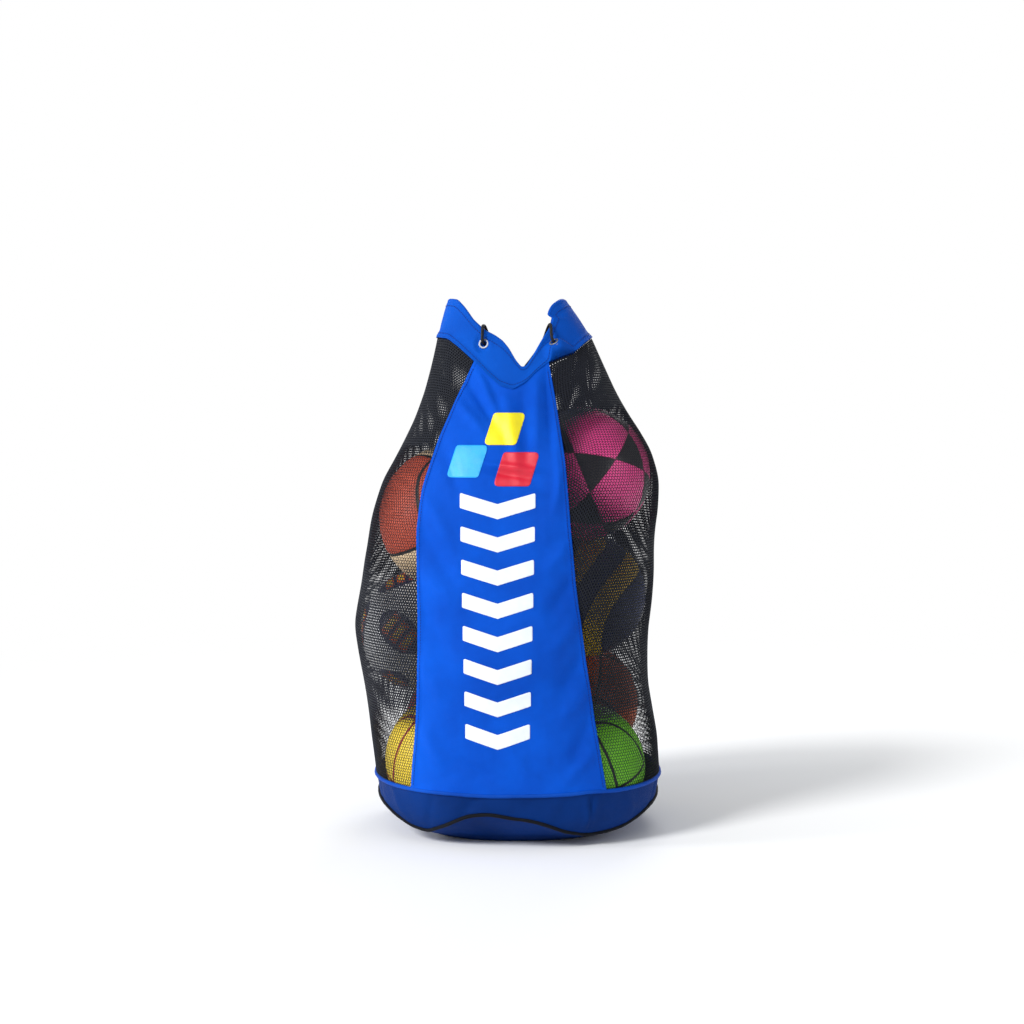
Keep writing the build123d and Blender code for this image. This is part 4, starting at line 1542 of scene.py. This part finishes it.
piping_turn = np.linspace(0, 2 * math.pi, 721)[:-1]
upper_z = BAND_TOP + MM * round_wave(piping_turn, [0, 60, 130, 200, 250, 262, 285, 295, 305, 340, 360],
                                     [0, 1.5, -1, 1, 0, -1.5, 0.5, 3, 0.5, 1, 0])
roll = 3.3 * MM * (1 + 0.05 * np.sin(piping_turn * 57)[:, None] * np.sin(piping_turn * 23)[:, None])
upper = closed_tube("upper_piping_roll", wall_place(piping_turn, upper_z, -0.6 * MM), roll)
upper.data.materials.append(BLUE_PIPING)
lower_z = round_wave(piping_turn, wave_turn, wave_height) * MM
lower = closed_tube("lower_piping_roll", wall_place(piping_turn, lower_z, -0.8 * MM), roll * 0.9)
lower.data.materials.append(BLACK_PIPING)
for piece, cad_name, slot_name in ((upper, "upper_piping", "blue_piping"),
                                   (lower, "lower_piping", "black_piping")):
    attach(piece, "root")
    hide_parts(cad_name)
    print(piece.name, triangles(piece), "triangles")

# %% Base disc
DISC_ROWS = 60
WALL_ROWS = 26         # rows from the seam down to the floor
FLOOR_SHARE = 0.84     # the flat part on the floor, as a share of the bag's foot
floor_ring = wall_place(ring_turn, np.zeros(RING), 0 * MM)[:, :2] * FLOOR_SHARE
top = wall_place(ring_turn, lower_seam, 1.2 * MM)
disc_rows = []
for step in np.linspace(0, 1, WALL_ROWS):
    belly = 1 - step**1.25
    z = 0.6 * MM + (lower_seam - 0.6 * MM) * (1 - step) ** 0.9
    flat = floor_ring + (top[:, :2] - floor_ring) * belly
    crumple = (1 + 1.5 * ripple(np.degrees(ring_turn) * 5, step * 60 + 0 * ring_turn)
               - 2.2 * np.abs(np.sin(ring_turn * 9 + 2 * np.sin(ring_turn * 3)))) * math.sin(step * math.pi)
    flat = flat * (1 + crumple * MM / np.linalg.norm(flat, axis=1))[:, None]
    disc_rows.append(np.concatenate([flat, z[:, None]], 1))
for step in np.linspace(1, 0.02, DISC_ROWS - WALL_ROWS + 1)[1:]:
    x_mm, y_mm = (floor_ring * 1000 * step).T
    z = 0.6 * MM + 0.5 * MM * np.abs(ripple(x_mm, y_mm))
    disc_rows.append(np.concatenate([floor_ring * step, z[:, None]], 1))
disc_bottom = np.array(disc_rows)
disc_top = disc_bottom.copy()
inward = disc_top * np.array([1, 1, 0])
inward /= np.maximum(np.linalg.norm(inward, axis=-1, keepdims=True), 1e-9)
disc_top[:WALL_ROWS] -= inward[:WALL_ROWS] * 1.0 * MM
disc_top[..., 2] += np.where(np.arange(DISC_ROWS)[:, None] > 20, 1.0 * MM, 0.3 * MM)
disc_points = np.concatenate([disc_bottom.reshape(-1, 3), disc_top.reshape(-1, 3)])
half_count = DISC_ROWS * RING
disc_faces = [face[::-1] for face in grid_faces(DISC_ROWS, RING, wrap=True)]
disc_faces += [[half_count + corner for corner in face[::-1]] for face in disc_faces]
disc_faces += [[c, half_count + c, half_count + (c + 1) % RING, (c + 1) % RING] for c in range(RING)]
last = (DISC_ROWS - 1) * RING
disc_faces.append([last + c for c in range(RING)])
disc_faces.append([half_count + last + c for c in reversed(range(RING))])
disc = mesh_object("base_disc_cloth", disc_points, disc_faces)
work = bmesh.new()
work.from_mesh(disc.data)
bmesh.ops.recalc_face_normals(work, faces=work.faces[:])
work.to_mesh(disc.data)
work.free()
add_uv(disc, disc_points[:, :2] * 1000)
disc.data.materials.append(BASE_CLOTH)
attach(disc, "root")
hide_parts("base_disc")
print("base disc", triangles(disc), "triangles")

# %% [markdown]
# ## Balls
# The balls give the bag its form and most of its colour. Each is built from a cube of
# even squares blown up to a sphere, which has no pinched poles. Its channels and seams
# are pressed into the mesh, and its colours are computed in the shader. Both come from
# one formula: the small class below lets the same line of Python run on numpy arrays,
# for the mesh, and on shader sockets, for the colour, so that paint and groove agree.

# %% One formula for mesh and shader
class Signal:
    """A shader socket that can be added, multiplied and compared like a number."""

    def __init__(self, tree, socket):
        self.tree, self.socket = tree, socket

    def act(self, operation, first, second=None, third=None, clamp=False):
        values = [item.socket if isinstance(item, Signal) else item for item in (first, second, third)]
        return Signal(self.tree, calculate(self.tree, operation, *values, clamp=clamp))

    def __add__(self, other):
        return self.act("ADD", self, other)

    def __radd__(self, other):
        return self.act("ADD", other, self)

    def __sub__(self, other):
        return self.act("SUBTRACT", self, other)

    def __rsub__(self, other):
        return self.act("SUBTRACT", other, self)

    def __mul__(self, other):
        return self.act("MULTIPLY", self, other)

    def __rmul__(self, other):
        return self.act("MULTIPLY", other, self)

    def __abs__(self):
        return self.act("ABSOLUTE", self)


def least(first, second):
    return first.act("MINIMUM", first, second) if isinstance(first, Signal) else np.minimum(first, second)


def most(first, second):
    return first.act("MAXIMUM", first, second) if isinstance(first, Signal) else np.maximum(first, second)


def below(value, limit, soft):
    """1 where value is under the limit, 0 over it, with a soft edge."""
    if isinstance(value, Signal):
        return value.act("MULTIPLY_ADD", value, -1 / soft, limit / soft + 0.5, clamp=True)
    return np.clip((limit - value) / soft + 0.5, 0, 1)


# %% Ball patterns
GOLDEN = (1 + math.sqrt(5)) / 2
LONG, SHORT = GOLDEN / math.hypot(1, GOLDEN), 1 / math.hypot(1, GOLDEN)
SIX_AXES = [(0, SHORT, LONG), (0, SHORT, -LONG), (SHORT, LONG, 0), (SHORT, -LONG, 0), (LONG, 0, SHORT),
            (-LONG, 0, SHORT)]


def channels(x, y, z):
    """Distance from a basketball's channels: two great circles and two bent side rings."""
    rings = abs(abs(y) - (0.68 - 0.30 * z * z))
    return least(least(abs(x), abs(z)), rings)


def circles(x, y, z):
    """Six great circles, which cut a sphere into pentagons and triangles."""
    nearest, product = None, None
    for a, b, c in SIX_AXES:
        flat = a * x + b * y + c * z
        nearest = abs(flat) if nearest is None else least(nearest, abs(flat))
        product = flat if product is None else product * flat
    return nearest, product


def ribbons(x, y, z):
    """Bent stripes of a volleyball: the distance from the seams, and the stripe's place."""
    bend = x + 0.42 * y * y - 0.12 * z
    seams = least(least(abs(bend + 0.42), abs(bend + 0.02)), least(abs(bend - 0.34), abs(bend - 0.66)))
    return least(seams, abs(z) * 0.9 + 0.002), bend


def ovals(x, y, z):
    """Twelve long ovals: how far outside the nearest one, and the bars within it."""
    x, y, z = abs(x), abs(y), abs(z)
    outside, bars = None, None
    for across, along, up in ((x, y, z), (y, z, x), (z, x, y)):
        slide = LONG * along - SHORT * up
        size = (across * across) * 13.5 + (slide * slide) * 5.4
        behind = below(SHORT * along + LONG * up, 0.6, 0.01)
        size = size + behind * 9.0
        outside = size if outside is None else least(outside, size)
        bar = least(abs(slide), least(abs(slide - 0.2), abs(slide + 0.2)))
        bar = most(bar * 1.9, abs(across) * 0.72) + behind * 9.0
        bars = bar if bars is None else least(bars, bar)
    return outside, bars


# %% Ball meshes
def ball_frame(name, turn):
    middle, radius = balls[name]
    turned = np.array(Matrix.Rotation(turn[2], 3, "Z") @ Matrix.Rotation(turn[1], 3, "Y")
                      @ Matrix.Rotation(turn[0], 3, "X"))
    return np.array(middle), radius, turned


def blown_cube(cells):
    """Unit sphere points and quads from a cube with that many cells along an edge."""
    line = np.tan(np.linspace(-math.pi / 4, math.pi / 4, cells + 1))
    a, b = np.meshgrid(line, line, indexing="ij")
    points, faces = [], []
    for axis in range(3):
        for side in (-1, 1):
            corner = np.empty(a.shape + (3,))
            corner[..., axis] = side
            corner[..., (axis + 1) % 3] = a
            corner[..., (axis + 2) % 3] = b
            first = len(points) * (cells + 1) ** 2
            points.append(corner.reshape(-1, 3))
            side_faces = grid_faces(cells + 1, cells + 1, flip=side > 0)
            faces += [[first + corner for corner in face] for face in side_faces]
    points = np.concatenate(points)
    points /= np.linalg.norm(points, axis=1, keepdims=True)
    _, first_of, index = np.unique(np.round(points, 6), axis=0, return_index=True,
                                   return_inverse=True)
    index = index.reshape(-1)
    return points[first_of], [[int(index[corner]) for corner in face[::-1]] for face in faces]


def make_ball(name, turn, groove, cells=60):
    """A ball with its channels pressed in; groove gives the depth in millimetres."""
    middle, radius, turned = ball_frame(name, turn)
    directions, faces = blown_cube(cells)
    local = directions @ turned
    depth = groove(local[:, 0], local[:, 1], local[:, 2])
    points = middle + directions * (radius - depth * MM)[:, None]
    made = mesh_object(name + "_skin", points, faces)
    if made.data.polygons[0].normal.dot(made.data.polygons[0].center - Vector(middle)) < 0:
        made.data.flip_normals()
    return made


# %% Ball materials
def ball_material(name, ball, turn, paint, roughness, grain, grain_size, coat=0.0):
    """Colour from paint(x, y, z) on the ball's own axes, and a leather or rubber grain."""
    made, tree, shader = new_material(name, roughness, Coat_Weight=coat, Coat_Roughness=0.25)
    middle, radius, _ = ball_frame(ball, turn)
    place = node(tree, "ShaderNodeTexCoord")
    mapping = node(tree, "ShaderNodeMapping", vector_type="TEXTURE")
    mapping.inputs["Location"].default_value = middle
    mapping.inputs["Rotation"].default_value = turn
    mapping.inputs["Scale"].default_value = (radius,) * 3
    tree.links.new(place.outputs["Object"], mapping.inputs["Vector"])
    split = node(tree, "ShaderNodeSeparateXYZ")
    tree.links.new(mapping.outputs[0], split.inputs[0])
    axes = [Signal(tree, split.outputs[axis]) for axis in range(3)]
    colour = paint(tree, *axes)
    dust = noise(tree, mapping.outputs[0], 5.0, 5.0)
    dust = calculate(tree, "MULTIPLY_ADD", dust, 0.55, -0.12, clamp=True)
    worn = node(tree, "ShaderNodeMix", data_type="RGBA", blend_type="MULTIPLY")
    tree.links.new(dust, worn.inputs[0])
    tree.links.new(colour, worn.inputs[6])
    worn.inputs[7].default_value = (0.72, 0.70, 0.68, 1)
    tree.links.new(worn.outputs[2], shader.inputs["Base Color"])
    pebble = node(tree, "ShaderNodeTexVoronoi", in_Scale=grain_size)
    tree.links.new(mapping.outputs[0], pebble.inputs["Vector"])
    bump(tree, shader, pebble.outputs["Distance"], grain, 0.5)
    return made


def mix_paint(tree, amount, first, second):
    return blend_colours(tree, amount.socket if isinstance(amount, Signal) else amount, first, second)


def channel_paint(body, line, width):
    def paint(tree, x, y, z):
        return mix_paint(tree, below(channels(x, y, z), width, 0.008), body, line)
    return paint


def panelled_paint(body, second, line, width):
    """Two leather colours: the second fills one pair of the panels between channels."""
    def paint(tree, x, y, z):
        between = below(abs(y) + 0.30 * z * z, 0.68, 0.002)
        chosen = between * below(0.0 - x * z, 0.0, 0.002)
        base = mix_paint(tree, chosen, body, second)
        return mix_paint(tree, below(channels(x, y, z), width, 0.008), base, line)
    return paint


def triangle_paint(body, second, line):
    def paint(tree, x, y, z):
        nearest, product = circles(x, y, z)
        base = mix_paint(tree, below(product, 0.0, 0.0001), body, second)
        return mix_paint(tree, below(nearest, 0.006, 0.006), base, line)
    return paint


def ribbon_paint(body, second, line):
    def paint(tree, x, y, z):
        seams, bend = ribbons(x, y, z)
        stripe = below(abs(bend + 0.22), 0.2, 0.004)
        stripe = most(stripe, below(abs(bend - 0.50), 0.16, 0.004))
        base = mix_paint(tree, stripe, body, second)
        return mix_paint(tree, below(seams, 0.008, 0.008), base, line)
    return paint


def oval_paint(body, patch, hot, bright):
    def paint(tree, x, y, z):
        outside, bars = ovals(x, y, z)
        base = mix_paint(tree, below(outside, 1.0, 0.03), body, patch)
        base = mix_paint(tree, below(bars, 0.135, 0.03), base, hot)
        return mix_paint(tree, below(bars, 0.085, 0.03), base, bright)
    return paint


def channel_groove(width, depth):
    return lambda x, y, z: depth * below(channels(x, y, z), width, width)


def seam_groove(pattern, width, depth):
    return lambda x, y, z: depth * below(pattern(x, y, z)[0], width, width * 1.5)


def oval_groove(x, y, z):
    return 0.7 * below(abs(ovals(x, y, z)[0] - 1.0), 0.07, 0.08)


INK_LINE = srgb(16, 14, 18)
# Turn, groove, paint, roughness, depth of the grain, its fineness, and gloss of the coat.
BALLS = {
    "yellow_ball": ((0.3, 0.25, -1.0), channel_groove(0.022, 1.3),
                    channel_paint(srgb(255, 222, 64), srgb(150, 24, 26), 0.024), 0.5, 0.0012, 46, 0.1),
    "green_ball": ((0.2, -0.3, 0.5), channel_groove(0.022, 1.3),
                   channel_paint(srgb(122, 214, 34), srgb(10, 26, 16), 0.024), 0.5, 0.0012, 46, 0.1),
    "brown_ball": ((-0.15, -0.5, 0.55), channel_groove(0.022, 1.4),
                   panelled_paint(srgb(190, 74, 48), srgb(248, 218, 178), INK_LINE, 0.022),
                   0.55, 0.0012, 46, 0.05),
    "pink_ball": ((0.25, 0.15, 0.10), seam_groove(circles, 0.012, 0.9),
                  triangle_paint(srgb(255, 74, 158), srgb(22, 18, 26), srgb(70, 14, 40)),
                  0.38, 0.0003, 90, 0.35),
    "white_ball": ((0.35, 0.62, 0.30), oval_groove,
                   oval_paint(srgb(246, 247, 250), srgb(34, 26, 82), srgb(240, 104, 26),
                              srgb(255, 214, 70)),
                   0.38, 0.0003, 90, 0.35),
    "navy_ball": ((0.2, 0.25, 0.15), seam_groove(ribbons, 0.014, 1.0),
                  ribbon_paint(srgb(22, 44, 108), srgb(250, 204, 52), srgb(10, 16, 40)),
                  0.45, 0.0003, 90, 0.15),
    "orange_ball": ((0.9, 0.3, 0.2), channel_groove(0.022, 1.3),
                    channel_paint(srgb(206, 92, 34), INK_LINE, 0.024), 0.55, 0.0012, 46, 0.0),
    "red_ball": ((0.4, 0.9, 0.2), channel_groove(0.022, 1.3),
                 channel_paint(srgb(178, 26, 36), INK_LINE, 0.024), 0.5, 0.0012, 46, 0.1),
    "sky_ball": ((0.7, 0.2, 0.9), seam_groove(circles, 0.012, 0.9),
                 triangle_paint(srgb(60, 150, 214), srgb(226, 232, 238), srgb(20, 50, 80)),
                 0.4, 0.0003, 90, 0.3),
    "cream_ball": ((0.5, 0.1, 0.6), seam_groove(ribbons, 0.014, 1.0),
                   ribbon_paint(srgb(232, 224, 200), srgb(60, 90, 160), srgb(90, 84, 70)),
                   0.42, 0.0003, 90, 0.2)}
FILLERS = ("orange_ball", "red_ball", "sky_ball", "cream_ball")
for name, (turn, groove, paint, roughness, grain, grain_size, coat) in BALLS.items():
    piece = make_ball(name, turn, groove, 44 if name in FILLERS else 62)
    piece.data.materials.append(ball_material(name + "_finish", name, turn, paint, roughness,
                                              grain, grain_size, coat))
    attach(piece, "root")
    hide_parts(name)
    print(piece.name, triangles(piece), "triangles")

# %% [markdown]
# ## Small hardware and the hidden runs of the cord
# The eyelets, their washers and the sprung cord lock are hard and already have their
# real shapes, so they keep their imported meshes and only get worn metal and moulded
# plastic. The runs of cord inside the tunnel and the knot get the same braid as the ends.

# %% Metal and plastic
def metal_material(name, colour, roughness, scratch):
    made, tree, shader = new_material(name, roughness, Metallic=1.0)
    place = node(tree, "ShaderNodeTexCoord")
    fine = noise(tree, place.outputs["Object"], scratch, 5.0)
    tint = blend_colours(tree, fine, tuple(v * 0.62 for v in colour[:3]) + (1.0,), colour)
    tree.links.new(tint, shader.inputs["Base Color"])
    rough = calculate(tree, "MULTIPLY_ADD", fine, 0.35, roughness - 0.12)
    tree.links.new(rough, shader.inputs["Roughness"])
    bump(tree, shader, fine, 0.0001, 0.4)
    return made


def plastic_material(name, colour, roughness):
    made, tree, shader = new_material(name, roughness)
    place = node(tree, "ShaderNodeTexCoord")
    grain = noise(tree, place.outputs["Object"], 900.0, 2.0)
    rubbed = noise(tree, place.outputs["Object"], 120.0)
    wear = calculate(tree, "MULTIPLY_ADD", rubbed, 1.6, -0.4, clamp=True)
    pale = tuple(min(1.0, v * 1.8 + 0.004) for v in colour[:3]) + (1.0,)
    tree.links.new(blend_colours(tree, wear, colour, pale), shader.inputs["Base Color"])
    rough = calculate(tree, "MULTIPLY_ADD", wear, 0.2, roughness - 0.06)
    tree.links.new(rough, shader.inputs["Roughness"])
    bump(tree, shader, grain, 0.00008, 0.6)
    return made


EYELET_METAL = metal_material("nickel_eyelet", srgb(168, 170, 176), 0.36, 700.0)
SPRING_STEEL = metal_material("spring_wire", srgb(190, 192, 196), 0.28, 900.0)
BLACK_PLASTIC = plastic_material("black_acetal", srgb(20, 20, 23), 0.42)
for cad_name, material in (("left_eyelet", EYELET_METAL), ("right_eyelet", EYELET_METAL),
                           ("left_washer", EYELET_METAL), ("right_washer", EYELET_METAL),
                           ("lock_body", BLACK_PLASTIC), ("lock_button", BLACK_PLASTIC),
                           ("lock_spring", SPRING_STEEL)):
    for slot in frame["nodes"][cad_name].material_slots:
        slot.material = material
print("hardware finished")


# %% Cord in the tunnel
def tunnel_route(places, inset):
    turns, heights = np.array(places, float).T
    return [Vector(p) for p in wall_place(np.radians(turns), heights * MM, inset * MM)]


def back_route(places, inset):
    route = []
    for x, z in places:
        turn = turn_at(np.array(x * MM), np.array(z * MM), False)
        route.append(Vector(wall_place(turn, np.array(z * MM), inset * MM)))
    return route


# The side runs are (turn in degrees, height), the back run is (x, height); the last
# number is how far the cord lies inside the wall. Lengths are in millimetres.
RUNS = {"left_drawcord": tunnel_route([(239, 806), (225, 824), (210, 836), (195, 841), (180, 843),
                                       (165, 841), (150, 836), (135, 824), (121, 806)], 5.7),
        "right_drawcord": tunnel_route([(-39, 839), (-25, 841), (-9, 843),
                                        (9, 843), (25, 841), (39, 839)], 5.7),
        "back_drawcord": back_route([(-68, 803), (-50, 789), (-30, 773), (-14, 753), (-3, 736),
                                     (12, 734), (25, 750), (38, 772), (52, 795), (62, 826)], 6.9)}
RUN_STEP = 0.8 * MM
for name, route in RUNS.items():
    places, length = even_points(spline_points(name, route), RUN_STEP)
    # A side's run passes from the front lip to the back lip, so it is made in two
    # halves that meet at the ear.
    if name == "back_drawcord":
        halves = {"back": places}
    else:
        ear = int(np.argmin(np.abs(places[:, 1])))
        halves = {"front": places[:ear + 1], "back": places[ear:]}
    for half, run in halves.items():
        piece = tube(f"{name}_{half}_braid", run, CORD_RADIUS, 24, relief=braid, spacing=RUN_STEP)
        piece.data.materials.append(CORD_YARN)
        if name == "back_drawcord":
            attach(piece, "back_lip")
        else:
            side = -1 if half == "front" else 1
            half + "_lip"
            side * 0.065
            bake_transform(piece)
        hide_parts(name)
    print(name, round(length, 4), "m")

# %% Knot
knot_middle = node_middle("tail_knot")
KNOT_STEPS = 150
# Two turns round the middle with three crossings: an overhand knot pulled tight.
way = np.linspace(0, 4 * math.pi, 2 * KNOT_STEPS)
knot_reach = 3.1 + 2.1 * np.cos(1.5 * way)
knot_line = np.stack([knot_reach * np.cos(way), knot_reach * np.sin(way),
                      4.4 * np.sin(1.5 * way)], 1)[2:-2]
knot_places, knot_length = even_points(knot_line * MM + np.array(knot_middle), 0.5 * MM)
knot = tube("tail_knot_braid", knot_places, CORD_RADIUS * 0.98, 24, relief=braid, spacing=0.5 * MM)
knot.data.materials.append(CORD_YARN)
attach(knot, "front_lip")
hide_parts("tail_knot")
print("knot", round(knot_length, 4), "m of cord,", triangles(knot), "triangles")

# %% [markdown]
# ## The free ends of the cord
# Each free end of the cord is looked up with its eyelet and, on the left end, the knot
# and the cord lock that sit on it.

for name, (places, length) in cord_lines.items():
    eyelet = left_eyelet if name == "left_tail" else right_eyelet
    on_cord = [knot] + [frame["nodes"][part] for part in ("lock_body", "lock_button", "lock_spring")]
    bpy.data.objects[name + "_braid"]
    on_cord if name == "left_tail" else []
